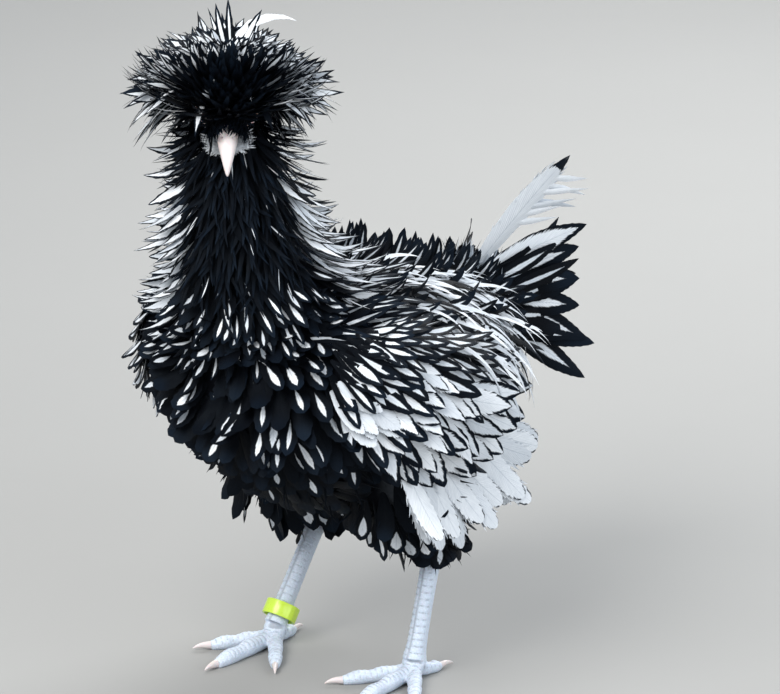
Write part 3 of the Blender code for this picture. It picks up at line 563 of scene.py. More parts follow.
class Finish:
    """A node material in the making, with short calls for the nodes it needs."""

    def __init__(self, name):
        self.material = bpy.data.materials.new(name)
        self.material.use_nodes = True
        self.tree = self.material.node_tree
        self.shader = self.tree.nodes["Principled BSDF"]

    def put(self, socket, value):
        """Links a socket, or sets its value."""
        if isinstance(value, Value):
            self.tree.links.new(value.socket, socket)
        else:
            socket.default_value = (*value, 1.0) if socket.type == "RGBA" and len(value) == 3 else value

    def node(self, kind, output, inputs=None, **settings):
        """One output of a new node with its inputs and settings, or all its outputs where that is None."""
        made = self.tree.nodes.new("ShaderNode" + kind)
        for key, value in settings.items():
            setattr(made, key, value)
        for key, value in (inputs or {}).items():
            self.put(made.inputs[key], value)
        return [Value(self, s) for s in made.outputs] if output is None else Value(self, made.outputs[output])

    def math(self, operation, a, b=0.0):
        """One sum on numbers or sockets."""
        return self.node("Math", 0, {0: a, 1: b}, operation=operation)

    def step(self, value, low, high):
        """A soft step from 0 to 1 as the value goes from low to high."""
        return self.node("MapRange", 0, {0: value, 1: low, 2: high}, interpolation_type="SMOOTHSTEP")

    def mix(self, share, a, b):
        """One colour turned into another by a share."""
        return self.node("Mix", 2, {0: share, 6: a, 7: b}, data_type="RGBA")

    def noise(self, vector, scale, detail=3.0, roughness=0.55):
        """Noise from 0 to 1 at a vector."""
        inputs = {"Vector": vector, "Scale": scale, "Detail": detail, "Roughness": roughness}
        return self.node("TexNoise", 0, inputs)

    def cells(self, vector, scale):
        """The distance to the nearest border between cells."""
        inputs = {"Vector": vector, "Scale": scale}
        return self.node("TexVoronoi", "Distance", inputs, feature="DISTANCE_TO_EDGE")

    def place(self):
        """Object coordinates."""
        return self.node("TexCoord", "Object")

    def attribute(self, name, output="Fac"):
        """A named attribute of the mesh."""
        return self.node("Attribute", output, attribute_name=name)

    def bump(self, height, strength, distance):
        """Relief on the shader's normal."""
        relief = self.node("Bump", 0, {"Height": height, "Strength": strength, "Distance": distance})
        self.put(self.shader.inputs["Normal"], relief)

    def done(self, colour, roughness, **sockets):
        """Sets the shader's main sockets and returns the material."""
        for name, value in {"Base_Color": colour, "Roughness": roughness, **sockets}.items():
            self.put(self.shader.inputs[name.replace("_", " ")], value)
        return self.material


def scaled(colour, share):
    """A colour made darker or brighter."""
    return tuple(min(c * share, 1) for c in colour)


def laced_feathers(colours):
    """Black vanes with a white spindle, whose outline each feather's mark gives, and fine barbs, with painted
    shade between the white barbs and a painted blue sheen near the tips of the black.
    """
    made = Finish("laced_vane")
    sideways, along, _ = made.node("SeparateXYZ", None, {0: made.node("UVMap", 0, uv_map="vane")})
    across = made.math("ABSOLUTE", sideways * 2.0 - 1.0)
    wide, start, end = made.node("SeparateXYZ", None, {0: made.attribute("mark", "Vector")})
    tone = made.attribute("tone")
    share = ((along - start) / (end - start)).clamped()
    lace = share ** 0.5 * made.math("SQRT", (1.0 - share ** 5.0).clamped())
    spindle = share ** 0.9 * 2.0 * (1.0 - share ** 3.0).clamped()
    laced = made.math("LESS_THAN", start, -0.5)
    shape = lace * laced + spindle * (1.0 - laced)
    barb = along * 60.0 - across * 11.0
    spot = made.node("CombineXYZ", 0, {0: across * 2.0, 1: barb * 0.5, 2: tone * 40.0})
    fray = made.noise(spot, 1.3, 4.0) - 0.5
    white = made.step(wide * shape - across + fray * wide * 0.55, 0.01, 0.15)
    ridge = made.math("SINE", barb * 3.0) * 0.5 + 0.5
    quill = made.step(across, 0.02, 0.06)
    pale = made.mix(((fray + tone) * 0.65 + 0.32).clamped(), colours.grey_and_painted_shade, colours.white)
    # Painted shade: the white turns a little toward grey along the lines between the barbs.
    pale = made.mix(ridge * 0.16, pale, colours.grey_and_painted_shade)
    pale = made.mix(0.4 - quill * 0.4, pale, colours.grey_and_painted_shade)
    # Painted sheen: a bluish band near the tips of the black, brighter on the barb ridges.
    glint = (ridge * 0.5 + 0.3) * made.step(along, 0.55, 0.92)
    dark = made.mix(glint * tone, colours.black, colours.sheen)
    made.bump(ridge + quill * 0.7, 0.35, 0.0004)
    return made.done(made.mix(white, dark, pale), white * 0.12 + 0.52, Specular_IOR_Level=0.06,
                     Specular_Tint=(0.66, 0.84, 1.0))


def fluff(colours):
    """The dark down that shows between feathers, paler where the feathers over it are white."""
    made = Finish("down")
    grain = made.noise(made.place(), 420.0, 4.0, 0.7)
    made.bump(grain, 0.9, 0.0012)
    tint = made.mix(made.attribute("pale") * (grain * 0.7 + 0.2), colours.black, colours.grey_and_painted_shade)
    return made.done(tint, 0.9, Specular_IOR_Level=0.03)


def bare_face(colours):
    """Pale pink skin with fine grains, round the eye and the bill."""
    made = Finish("face_skin")
    place = made.place()
    made.bump(made.cells(place, 1100.0), 0.6, 0.0004)
    pink = made.mix(made.noise(place, 130.0), colours.face, scaled(colours.face, 1.25))
    return made.done(pink, 0.5, Subsurface_Weight=0.15, Subsurface_Scale=0.002)


def leg_scales(colours):
    """Blue-white scaled skin, darker in the grooves between the scutes."""
    made = Finish("scaled_skin")
    place = made.place()
    line = made.step(made.cells(place, 620.0), 0.02, 0.16)
    cloud = made.noise(place, 60.0, 4.0)
    base = made.mix(cloud, colours.shank, scaled(colours.shank, 1.22))
    deep = made.mix(made.attribute("groove") * 0.75, base, scaled(colours.shank, 0.42))
    lined = made.mix(0.22 - line * 0.22, deep, colours.grey_and_painted_shade)
    made.bump(line + cloud * 0.4, 0.45, 0.0003)
    return made.done(lined, 0.46, Subsurface_Weight=0.06, Subsurface_Scale=0.002)


def horn(name, colour):
    """Pale horn with fine growth lines."""
    made = Finish(name)
    place = made.place()
    fine = made.noise(place, 1200.0, 2.0)
    made.bump(fine, 0.12, 0.0003)
    tone = made.mix(made.noise(place, 160.0), scaled(colour, 0.82), colour)
    return made.done(tone, fine * 0.2 + 0.28, Subsurface_Weight=0.1, Subsurface_Scale=0.0015)


def eye_finish(colours):
    """Black pupil, orange-brown streaked iris and dark rim under a clear wet coat."""
    made = Finish("wet_eye")
    gaze = made.attribute("gaze")
    iris = made.mix(made.noise(made.place(), 1500.0, 4.0), scaled(colours.iris, 0.45), colours.iris)
    seen = made.mix(made.step(gaze, 0.33, 0.38), (0.004, 0.004, 0.004), iris)
    rimmed = made.mix(made.step(gaze, 0.78, 0.88), seen, (0.02, 0.014, 0.012))
    return made.done(rimmed, 0.12, Coat_Weight=1.0, Coat_Roughness=0.03)


def ring_plastic(colours):
    """Lime plastic with a little grime and fine scuffs."""
    made = Finish("lime_band")
    place = made.place()
    scuff = made.noise(place, 700.0, 5.0)
    made.bump(scuff, 0.08, 0.0002)
    tone = made.mix(made.noise(place, 120.0), scaled(colours.ring, 0.82), colours.ring)
    return made.done(tone, scuff * 0.3 + 0.16, Coat_Weight=0.3, Coat_Roughness=0.15)


def pale_at(place):
    """How white the coat is over a point of the skin: hackle sides, wings and rump are pale."""
    wing = ramp(abs(place.x), 0.055, 1 / 0.015) * ramp(place.z, 0.24, -1 / 0.03) * ramp(place.y, -0.06, 25)
    neck = ramp(place.z, 0.26, 1 / 0.03) * ramp(place.z, 0.34, -1 / 0.03) * ramp(place.y, -0.115, 50)
    return max(wing * 0.8, neck * 0.6)


def body_skin():
    """The flesh of body, neck, tail, wings and thighs, fused into one smooth surface."""
    bm = bmesh.new()
    under = -0.0012
    TORSO_FORM.loft(bm, 26, 40, under)
    NECK_FORM.loft(bm, 20, 30, under)
    TAIL_FORM.loft(bm, 10, 20, under)
    for side in SIDES:
        WING_FORMS[side].loft(bm, 18, 24, under)
        THIGH_FORMS[side].loft(bm, 16, 24, under)
    return fused(base_mesh("body_skin", bm), 0.0024, 6)


def head_skin():
    """The skull with its knob, the folds of the lids and the face, finer than the body."""
    bm = bmesh.new()
    HEAD_FORM.loft(bm, 20, 36, -0.0004)
    knob = Matrix.Translation(KNOB_CENTRE)
    bmesh.ops.create_icosphere(bm, subdivisions=4, radius=KNOB_RADIUS - 0.001, matrix=knob)
    for side in SIDES:
        centre, turn = eye_frame(side)
        for radius, thick, forward in ((1.06, 0.0012, 0.50), (1.36, 0.0010, 0.22)):
            middle = centre + turn @ Vector((0, 0, EYE_RADIUS * forward))
            add_torus(bm, Matrix.Translation(middle) @ turn.to_4x4(), EYE_RADIUS * radius, thick)
    made = fused(base_mesh("head_skin", bm), 0.0006, 2)
    hollow_sockets(made)
    return made


def spin_round(bm, steps):
    """Spins the profile in a bmesh round Z into a closed ring."""
    geom = list(bm.edges) + list(bm.verts)
    bmesh.ops.spin(bm, geom=geom, cent=(0, 0, 0), axis=UP, angle=math.tau, steps=steps, use_merge=True)
    bmesh.ops.remove_doubles(bm, verts=bm.verts, dist=1e-6)


def add_torus(bm, matrix, radius, thick):
    """A round cord bent to a closed ring, spun from a small circle and added in its place."""
    small = bmesh.new()
    circle = bmesh.ops.create_circle(small, segments=10, radius=thick)["verts"]
    turn = Matrix.Translation((radius, 0, 0)) @ Matrix.Rotation(math.pi / 2, 4, "X")
    bmesh.ops.transform(small, matrix=turn, verts=circle)
    spin_round(small, 32)
    bmesh.ops.recalc_face_normals(small, faces=small.faces)
    bmesh.ops.transform(small, matrix=matrix, verts=small.verts)
    passing = bpy.data.meshes.new("passing")
    small.to_mesh(passing)
    small.free()
    bm.from_mesh(passing)
    bpy.data.meshes.remove(passing)


def eye_frame(side):
    """The eye's centre, and the turn that points Z out of the eye."""
    look = (HEAD_LEFT * side + FORWARD * 0.35 + HEAD_UP * 0.1).normalized()
    return eye_at(side), look.to_track_quat("Z", "Y").to_matrix()


def hollow_sockets(made):
    """Pushes the skin out of each eyeball's space, so that the eye sits open between its lids."""
    for side in SIDES:
        centre, turn = eye_frame(side)
        middle = centre + SHIFT
        look = turn @ UP
        for v in made.data.vertices:
            away = v.co - middle
            level = away - look * away.dot(look)
            near = away.length < EYE_RADIUS + 0.0003 and away.dot(look) > 0
            if near and level.length < EYE_RADIUS * 0.86:
                v.co = middle + level - look * 0.001


def hock(side):
    """The lower end of one thigh, where the shank starts."""
    return Vector(THIGH_FORMS[side].rows[-1][:3])


def toe_rows(side, turn, length, share):
    """Stations of one toe along the floor, thicker at its joints, and the toe's way."""
    angle = math.radians(turn * side)
    way = Vector((math.sin(angle), -math.cos(angle), 0))
    rows = []
    for s, w in TOE_SHAPE:
        tall = TOE_RADIUS * share * w
        place = ANKLES[side] + way * length * s
        place.z = max(tall * 0.78, 0.0022) + (1 - s) ** 2 * 0.002
        rows.append((*place, tall, tall, tall))
    return rows, way


def leg_skin(side):
    """One shank, foot and toes, fused and then raised into overlapping scutes."""
    bm = bmesh.new()
    top, ankle = hock(side), ANKLES[side]
    rows = []
    for s, w in SHANK_SHAPE:
        r = SHANK_RADIUS * w
        rows.append((*(top + (ankle - top) * s), r * 0.94, r * 1.1, r * 1.1))
    shank = Form(rows)
    shank.loft(bm, 26, 24)
    ball = Matrix.Translation(ankle - UP * 0.003)
    bmesh.ops.create_icosphere(bm, subdivisions=3, radius=SHANK_RADIUS * 1.28, matrix=ball)
    bones = [(shank, 18)]
    for _, turn, length, share in TOES:
        rows, way = toe_rows(side, turn, length, share)
        toe = Form(rows, Vector((way.y, -way.x, 0)))
        toe.loft(bm, 22, 18)
        bones.append((toe, round(length / SCUTE_LENGTH)))
    made = fused(base_mesh("leg_skin", bm), 0.00085, 3)
    raise_scutes(made.data, bones)
    return made


def raise_scutes(mesh, bones):
    """Lifts the lower edge of each scute along the front of the shank and the top of the toes."""
    count = len(mesh.vertices)
    points, normals = np.zeros(count * 3), np.zeros(count * 3)
    mesh.vertices.foreach_get("co", points)
    mesh.vertices.foreach_get("normal", normals)
    points = points.reshape(-1, 3) - np.array(SHIFT)
    best, height, groove = np.full(count, 1e9), np.zeros(count), np.zeros(count)
    for number, (bone, scutes) in enumerate(bones):
        on_shank = number == 0
        first, last = bone.row(0)[:3], bone.row(1)[:3]
        run = last - first
        long = np.linalg.norm(run)
        share = np.clip((points - first) @ run / long ** 2, 0, 1)
        away = points - (first + column(share) * run)
        far = np.linalg.norm(away, axis=1)
        face = np.array((0.0, -1.0, 0.0) if on_shank else (0.0, 0.0, 1.0))
        aside = away @ np.cross(run / long, face)
        rise = np.mod(share * scutes + (0.5 * (aside > 0) if on_shank else 0.0), 1.0)
        edge = np.clip((rise - 0.90) / 0.10, 0, 1) + np.clip((0.08 - rise) / 0.08, 0, 1)
        if on_shank:
            edge = np.maximum(edge, np.exp(-(aside / 0.0006) ** 2))
        front = np.clip(((away @ face) / np.maximum(far, 1e-6) - 0.05) / 0.3, 0, 1)
        nearer = far < best
        best = np.where(nearer, far, best)
        height = np.where(nearer, front * (0.00045 * rise - 0.0004 * edge), height)
        groove = np.where(nearer, front * np.clip(edge, 0, 1), groove)
    height = np.where(points[:, 2] < 0.0009, 0.0, height)
    points += normals.reshape(-1, 3) * column(height)
    points[:, 2] = np.maximum(points[:, 2], 0.0)
    fill(mesh.vertices, "co", points + np.array(SHIFT))
    note(mesh, "groove", groove)
    mesh.update()


def claws():
    """The eight curved claws, each set in the end of its toe."""
    bm = bmesh.new()
    for side in SIDES:
        for _, turn, length, share in TOES:
            rows, way = toe_rows(side, turn, length, share)
            tip = Vector(rows[-1][:3])
            stations = []
            for s, w in CLAW_SHAPE:
                r = TOE_RADIUS * share * 0.56 * w
                place = tip + way * CLAW_LENGTH * s
                place.z = max(tip.z + 0.0012 * math.sin(math.pi * max(s, 0)) - 0.0006 * s, r + 0.0004)
                stations.append((*place, r * 0.8, r, r))
            Form(stations, Vector((way.y, -way.x, 0))).loft(bm, 18, 16)
    return base_mesh("claw_horn", bm)


def upper_beak():
    """The hooked upper bill with raised, cavernous nostrils."""
    bm = bmesh.new()
    Form(on_head(UPPER_BILL), -HEAD_LEFT).loft(bm, 26, 28)
    for side in SIDES:
        dome = Matrix.Translation(head_point(0.0252, side * 0.0038, 0.0062))
        bmesh.ops.create_icosphere(bm, subdivisions=3, radius=0.0038, matrix=dome)
    made = fused(base_mesh("beak_upper_horn", bm), 0.0004, 3)
    for side in SIDES:
        centre = head_point(0.0276, side * 0.0070, 0.0062) + SHIFT
        inward = (HEAD_LEFT * -side - FORWARD * 0.3).normalized()
        for v in made.data.vertices:
            away = v.co - centre
            flat = (away.dot(FORWARD) / 0.0021) ** 2 + (away.dot(HEAD_UP) / 0.0011) ** 2
            if flat < 1 and abs(away.dot(HEAD_LEFT)) < 0.004:
                v.co += inward * 0.0019 * (1 - flat) ** 0.5
    made.data.update()
    return made


def lower_beak():
    """The lower bill, which closes under the upper one."""
    bm = bmesh.new()
    Form(on_head(LOWER_BILL), -HEAD_LEFT).loft(bm, 24, 24)
    return base_mesh("beak_lower_horn", bm)


def eye(side):
    """The eyeball with a bulging cornea and an attribute that says how far a point is from the gaze."""
    centre, turn = eye_frame(side)
    bm = bmesh.new()
    bmesh.ops.create_uvsphere(bm, u_segments=40, v_segments=28, radius=EYE_RADIUS - 0.0001)
    gaze = []
    for v in bm.verts:
        angle = math.acos(max(min(v.co.normalized().z, 1), -1))
        gaze.append(angle)
        v.co *= 1 + 0.05 * max(1 - (angle / 0.75) ** 2, 0)
    bmesh.ops.transform(bm, matrix=Matrix.Translation(centre) @ turn.to_4x4(), verts=bm.verts)
    made = base_mesh("eye_ball_" + HANDS[side], bm)
    note(made.data, "gaze", gaze)
    return made


def leg_ring():
    """The rounded plastic band on the right shank, with the small step where its end overlaps."""
    bm = bmesh.new()
    inner, half = RING_RADIUS - RING_WALL, RING_HEIGHT / 2
    corners = ((RING_RADIUS, -half), (RING_RADIUS, half), (inner, half), (inner, -half))
    loop = [bm.verts.new((radius, 0, z)) for radius, z in corners]
    for k in range(4):
        bm.edges.new((loop[k], loop[(k + 1) % 4]))
    spin_round(bm, 96)
    rims = [e for e in bm.edges if len(e.link_faces) == 2 and e.calc_face_angle(0) > 1.0]
    bmesh.ops.bevel(bm, geom=rims, offset=0.0004, segments=3, affect="EDGES", profile=0.5, material=-1)
    for v in bm.verts:
        if 0.0 < math.atan2(v.co.y, v.co.x) < 0.5 and v.co.xy.length > RING_RADIUS - RING_WALL / 2:
            v.co.xy *= 1.03
    down = (ANKLES[-1] - hock(-1)).normalized()
    turn = down.to_track_quat("Z", "Y").to_matrix().to_4x4()
    place = Matrix.Translation(ANKLES[-1] - down * RING_LIFT)
    bmesh.ops.transform(bm, matrix=place @ turn, verts=bm.verts)
    return base_mesh("ring_band", bm)


def near_face(place):
    """Whether a root is on the bare skin round the eye or on the cheek beside the bill."""
    for side in SIDES:
        cheek = head_point(0.0175, side * 0.0105, -0.0045)
        if (place - eye_at(side)).length < EYE_RADIUS * 1.45 or (place - cheek).length < 0.0080:
            return True
    return False


def marked(mark, draw, chance=1.0):
    """A marking with its natural variation, or a plain dark one, and the feather's tone."""
    tone = draw.uniform(0.1, 1.0)
    if draw.random() > chance:
        return (*DARK_MARK, tone)
    wide, start, end = mark
    wide *= draw.uniform(0.75, 1.2)
    return (wide, start + draw.uniform(-0.1, 0.1), end + draw.uniform(-0.02, 0.02), tone)


def bent(draw, lift, about, curl, roll, sway):
    """A feather's pose: its lift varies about one value, its curl in a range, roll and sway round zero."""
    return lift + draw.uniform(*about), draw.uniform(*curl), draw.gauss(0, roll), draw.gauss(0, sway)


def torso_way(place, out):
    """Breast feathers hang down and outwards, those of the back and flanks run backwards."""
    front = ramp(-place.y, 0.005, 1 / 0.085)
    side = out.x * (0.5 + 0.5 * front)
    return Vector((side, 1.05 - 0.85 * front, -0.3 - 0.7 * front - 0.25 * abs(out.x)))


def torso_plumes(look, draw):
    """The broad curled feathers of breast, flanks and belly, and the narrow ones of the back."""
    plumes = Plumes()
    others = (*WING_FORMS.values(), *THIGH_FORMS.values())
    broad = tract(TORSO_FORM, 0.05, 0.97, look.body_gap, look.body_gap * 0.95, -90, 270, draw, 0.3)
    fine = tract(TORSO_FORM, 0.14, 0.97, 0.0085, 0.0080, 5, 175, draw, 0.35)
    for number, (t, a, root, out, spot) in enumerate(broad + fine):
        back = max(out.z, 0) * ramp(root.y, -0.09, 20)
        spare = number >= len(broad)
        above = root + out * (0.001 if spare else 0.006)
        hidden = root.y > -0.065 and any(form.holds(above) for form in others)
        bare = spare and 0.44 < t < 0.86 and 0.3 < abs(math.cos(a)) < 0.94 and draw.random() < 0.55
        if hidden or bare or (back > 0.4) != spare:
            continue
        flank = abs(out.x) * (1 - back)
        low = ramp(root.z, 0.20, -20)
        length = look.body_length * (1 - 0.25 * low - 0.12 * back) * draw.uniform(0.85, 1.08)
        if root.x < 0 and root.y < -0.03:
            length *= 0.86
        length *= 1 - 0.42 * max(out.dot(TUCKED_WAY), 0)
        width = look.body_width * (1 - 0.50 * back) * draw.uniform(0.8, 1.1)
        lift = math.radians(20 - 10 * low - 14 * flank + 8 * back) + draw.uniform(-0.10, 0.12)
        curl = math.radians(look.curl * max(1 - 0.45 * low - 0.60 * flank, 0.15)) * draw.uniform(0.5, 1.4)
        chance = 0.80 - 0.55 * max(-out.z, 0) - 0.3 * ramp(root.z, 0.225, -1 / 0.03)
        mark = marked(BACK_MARK if back > 0.4 else BREAST_MARK, draw, chance)
        pose = (lift, curl, draw.gauss(0, 0.22), draw.gauss(0, 0.25))
        if (root - WHITE_PATCH).length < PATCH_REACH:
            mark, width = PLAIN_WHITE, width * 1.2
        plumes.add(root, torso_way(root, out), out, (length, width, 0.0006, 0.006), pose, mark, spot)
    for side, low, high in ((1, 26, 76), (-1, 104, 154)):
        for _, _, root, out, spot in tract(TORSO_FORM, 0.10, 0.40, 0.0075, 0.0062, low, high, draw, 0.4):
            pose = (math.radians(17) + draw.uniform(-0.1, 0.15), draw.uniform(-0.5, 0.2), draw.gauss(0, 0.2),
                    side * draw.uniform(-0.1, 0.4))
            size = (0.046 * draw.uniform(0.8, 1.15), 0.0068, 0.0005, 0.005)
            mark = marked(CAPE_MARK, draw, 0.85)
            plumes.add(root, Vector((side * 0.40, 1.0, -0.35)), out, size, pose, mark, spot)
    return plumes


def neck_plumes(look, draw):
    """The hackles: white at the sides and nape, laced on the chest, and fine black plumes on the throat."""
    plumes = Plumes()
    for t, _, root, out, spot in tract(NECK_FORM, 0.08, 0.98, 0.0068, 0.0056, -180, 180, draw, 0.4):
        facing = out.dot(FACING)
        if facing > (0.45 if t < 0.76 else 0.10) and t > 0.43:
            continue
        chest = ramp(facing, 0.1, 2.5) * ramp(t, 0.56, -4)
        cape = ramp(t, 0.50, -3) * ramp(facing, 0.5, -1)
        length = look.hackle_length - 0.010 * t + 0.012 * cape
        length *= draw.uniform(0.8, 1.15) * (1 - 0.35 * chest)
        if t < 0.5:
            length *= 1 - 0.28 * max(-out.dot(VIEW_RIGHT), 0)
        lift = math.radians(20 + 12 * (1 - abs(facing)))
        curl = math.radians(48)
        pose = bent(draw, lift, (-0.12, 0.16), (curl * 0.3, curl * 1.3), 0.25, 0.30)
        width = (0.0086 + 0.0020 * chest) * draw.uniform(0.7, 1.2)
        if chest > 0.4:
            mark = marked(BREAST_MARK, draw, 0.8)
        else:
            mark = marked(HACKLE_MARK, draw, 0.96 if facing < 0.45 else 0.1)
        way = Vector((out.x * 0.9, out.y * 0.6 + 0.25, -1))
        plumes.add(root, way, out, (length, width, 0.0005, 0.005), pose, mark, spot)
    for t, _, root, out, spot in tract(NECK_FORM, 0.44, 0.98, 0.0036, 0.0029, -12, 192, draw, 0.4):
        aside = 1 - max(out.dot(FACING), 0)
        muff = ramp(t, 0.66, 5)
        if aside > 0.55 and muff < draw.random():
            continue
        pose = bent(draw, math.radians(26 + (10 + 24 * muff) * aside), (-0.2, 0.2), (-0.5, 0.4), 0.3, 0.35)
        size = (0.029 * draw.uniform(0.7, 1.15), 0.0030, 0.0004, 0.004)
        way = Vector((out.x * 0.8, out.y * 0.5, -1))
        plumes.add(root, way, out, size, pose, marked(BREAST_MARK, draw, 0.06), spot)
    return plumes


def beard_plumes(draw):
    """Muffs, beard, nape and brow in fine locks, and the pale down of the cheeks beside the bill."""
    plumes = Plumes()
    for t, _, root, out, spot in tract(HEAD_FORM, 0.10, 0.92, 0.0017, 0.0020, -205, 25, draw, 0.4):
        if near_face(root):
            continue
        aside = abs(out.dot(HEAD_LEFT))
        length = (0.023 + 0.013 * t) * draw.uniform(0.6, 1.2) * (0.8 + 0.25 * aside)
        pose = bent(draw, math.radians(40 + 18 * aside), (-0.35, 0.3), (-0.7, 0.5), 0.35, 0.45)
        way = FORWARD * (0.30 - 0.7 * t) - UP
        plumes.add(root, way, out, (length, 0.0025, 0.0004, 0.003), pose, marked(DARK_MARK, draw, 0.0), spot)
    for _, _, root, out, spot in tract(HEAD_FORM, 0.62, 0.97, 0.0032, 0.0038, -10, 190, draw, 0.4):
        top = max(out.z, 0)
        pose = bent(draw, math.radians(46 - 34 * top), (-0.2, 0.25), (-0.3, -0.7), 0.25, 0.3)
        size = ((0.056 - 0.010 * top) * draw.uniform(0.75, 1.1), 0.0066, 0.0005, 0.003)
        plumes.add(root, -UP - FORWARD * 0.4, out, size, pose, marked(CREST_MARK, draw, 0.8), spot)
    for t, _, root, out, spot in tract(HEAD_FORM, 0.05, 0.50, 0.0014, 0.0017, 5, 175, draw, 0.4):
        if near_face(root) or (root - KNOB_CENTRE).length < KNOB_RADIUS:
            continue
        pose = bent(draw, 0, (0.4, 1.1), (-0.7, 0.2), 0.4, 0.5)
        size = ((0.006 + 0.016 * t) * draw.uniform(0.7, 1.2), 0.0016, 0.0004, 0.002)
        way = HEAD_LEFT * (out.dot(HEAD_LEFT) * 1.5) - FORWARD
        plumes.add(root, way, out, size, pose, marked(DARK_MARK, draw, 0.0), spot)
    for side in SIDES:
        for _ in range(170):
            share, spread = draw.random(), draw.random()
            aside = side * (0.0028 + 0.0080 * spread)
            root = head_point(0.0140 + 0.006 * share, aside, 0.0120 - 0.0075 * spread)
            out = (HEAD_UP * (1.2 - spread) + HEAD_LEFT * side * (0.3 + spread)).normalized()
            pose = (draw.uniform(0.0, 0.4), draw.uniform(-0.4, 0.0), draw.gauss(0, 0.3),
                    side * draw.uniform(-0.1, 0.4))
            size = (draw.uniform(0.008, 0.0140) * (1 + 0.35 * spread), 0.0014, 0.0003, 0.002)
            spot = (0.08 + 0.05 * share, 0.25)
            plumes.add(root, FORWARD, out, size, pose, marked(DARK_MARK, draw, 0.0), spot)
    for side in SIDES:
        for _ in range(260):
            share, spread, drop = draw.random(), draw.random(), draw.random()
            aside = side * (0.0030 + 0.0050 * spread)
            root = head_point(0.021 + 0.008 * share, aside, -0.003 - 0.009 * drop)
            aside = HEAD_LEFT * side * (0.3 + 0.5 * spread)
            out = (FORWARD * 0.7 + aside - HEAD_UP * drop * 0.3).normalized()
            pose = bent(draw, 0, (0.1, 0.7), (-0.5, 0.2), 0.4, 0.4)
            size = (draw.uniform(0.005, 0.0105), 0.0012, 0.0003, 0.002)
            mark = (*WHITE_BARB, draw.uniform(0.5, 1.0))
            spot = (0.10 + 0.08 * share, side * (0.1 + 0.1 * drop) / math.tau % 1)
            plumes.add(root, HEAD_LEFT * side - HEAD_UP * (0.2 + drop), out, size, pose, mark, spot)
    return plumes


def crest_plumes(look, draw):
    """The globe crest, radiating from the knob of the skull, dark over the face, which is partly black
    feathers and partly painted shadow, and streaked outside.
    """
    plumes = Plumes()
    turn = math.pi * (3 - math.sqrt(5))
    count = look.crest_count
    lean = Matrix.Rotation(math.radians(7), 3, HEAD_LEFT)
    for k in range(count):
        share = (k + 0.5) / count
        height = 1 - share * 1.6
        flat = math.sqrt(1 - height * height)
        out = lean @ Vector((flat * math.cos(k * turn), flat * math.sin(k * turn), height))
        high = max(height, 0)
        low = ramp(height, 0.4, -1)
        behind = max(-out.dot(FACING), 0)
        ahead = max(out.dot(DARK_AND_SHADOW_WAY), 0)
        over_bill = ramp(out.dot(FORWARD), 0.45, 3)
        # Black over the face: partly the front feathers' own black, partly painted shadow of the shaded
        # feather bases there.
        dark = ramp(ahead, 0.42, 3.5)
        upswept = min(ahead * 1.3, 1)
        way = (Vector((out.x, out.y, -0.5)) - FORWARD * 0.25).lerp(UP - FORWARD * 0.4, upswept)
        length = look.crest_length + 0.016 * behind * (1 - high) - (0.032 + 0.010 * behind) * high
        length -= 0.010 * ahead + 0.014 * over_bill
        length *= draw.uniform(0.76, 1.06) if draw.random() < 0.98 else 1.15 - 0.05 * high
        lift = math.radians(82) - 0.35 * low - 0.25 * upswept + draw.gauss(0, 0.11)
        curl = -(0.40 + 0.65 * low + 0.35 * high) * (1 - 0.4 * upswept) + draw.gauss(0, 0.24)
        roll, sway = draw.uniform(-0.4, 0.4), draw.gauss(0, 0.26)
        mark = marked(CREST_MARK, draw, 0.96 - 0.95 * dark)
        width = 0.0076 * draw.uniform(0.6, 1.25) * (1 - 0.4 * dark)
        if draw.random() < 0.17 * (1 - dark):
            mark = marked(BROAD_CREST_MARK, draw)
            width = 0.0092
            length *= 0.84 - 0.34 * max(high - 0.5, 0)
            curl = min(curl - 0.35, -0.8)
        root = CREST_CENTRE + out * KNOB_RADIUS * 0.9
        size = (length, width, 0.0005, 0.004)
        plumes.add(root, way, out, size, (lift, curl, roll, sway), mark, (share, k * turn / math.tau % 1))
    for low, high in ((-30, 40), (140, 210)):
        for _, _, root, out, spot in tract(HEAD_FORM, 0.28, 0.80, 0.0034, 0.0034, low, high, draw, 0.45):
            if any((root - eye_at(side)).length < EYE_RADIUS * 1.9 for side in SIDES):
                continue
            pose = (math.radians(66) + draw.gauss(0, 0.15), draw.uniform(-1.2, -0.4), draw.gauss(0, 0.25),
                    draw.gauss(0, 0.3))
            size = (0.038 * draw.uniform(0.75, 1.1), 0.0080, 0.0005, 0.004)
            way = HEAD_LEFT * out.dot(HEAD_LEFT) * 0.3 - UP - FORWARD * 0.2
            plumes.add(root, way, out, size, pose, marked(CREST_MARK, draw, 0.7), spot)
    view_up = lie_along(UP, VIEW_BACK)
    root = CREST_CENTRE + (UP * 0.55 + VIEW_RIGHT * 0.16) * KNOB_RADIUS
    for degrees, length, width, sway, mark in STRAY_CREST:
        tilt = math.radians(degrees)
        way = view_up * math.cos(tilt) + VIEW_RIGHT * math.sin(tilt)
        size = (length, width, 0.0005, 0.004)
        plumes.add(root, way, VIEW_BACK, size, (0.05, 0.1, 0.0, sway), (*mark, 0.8), (0.02, 0.5))
    return plumes


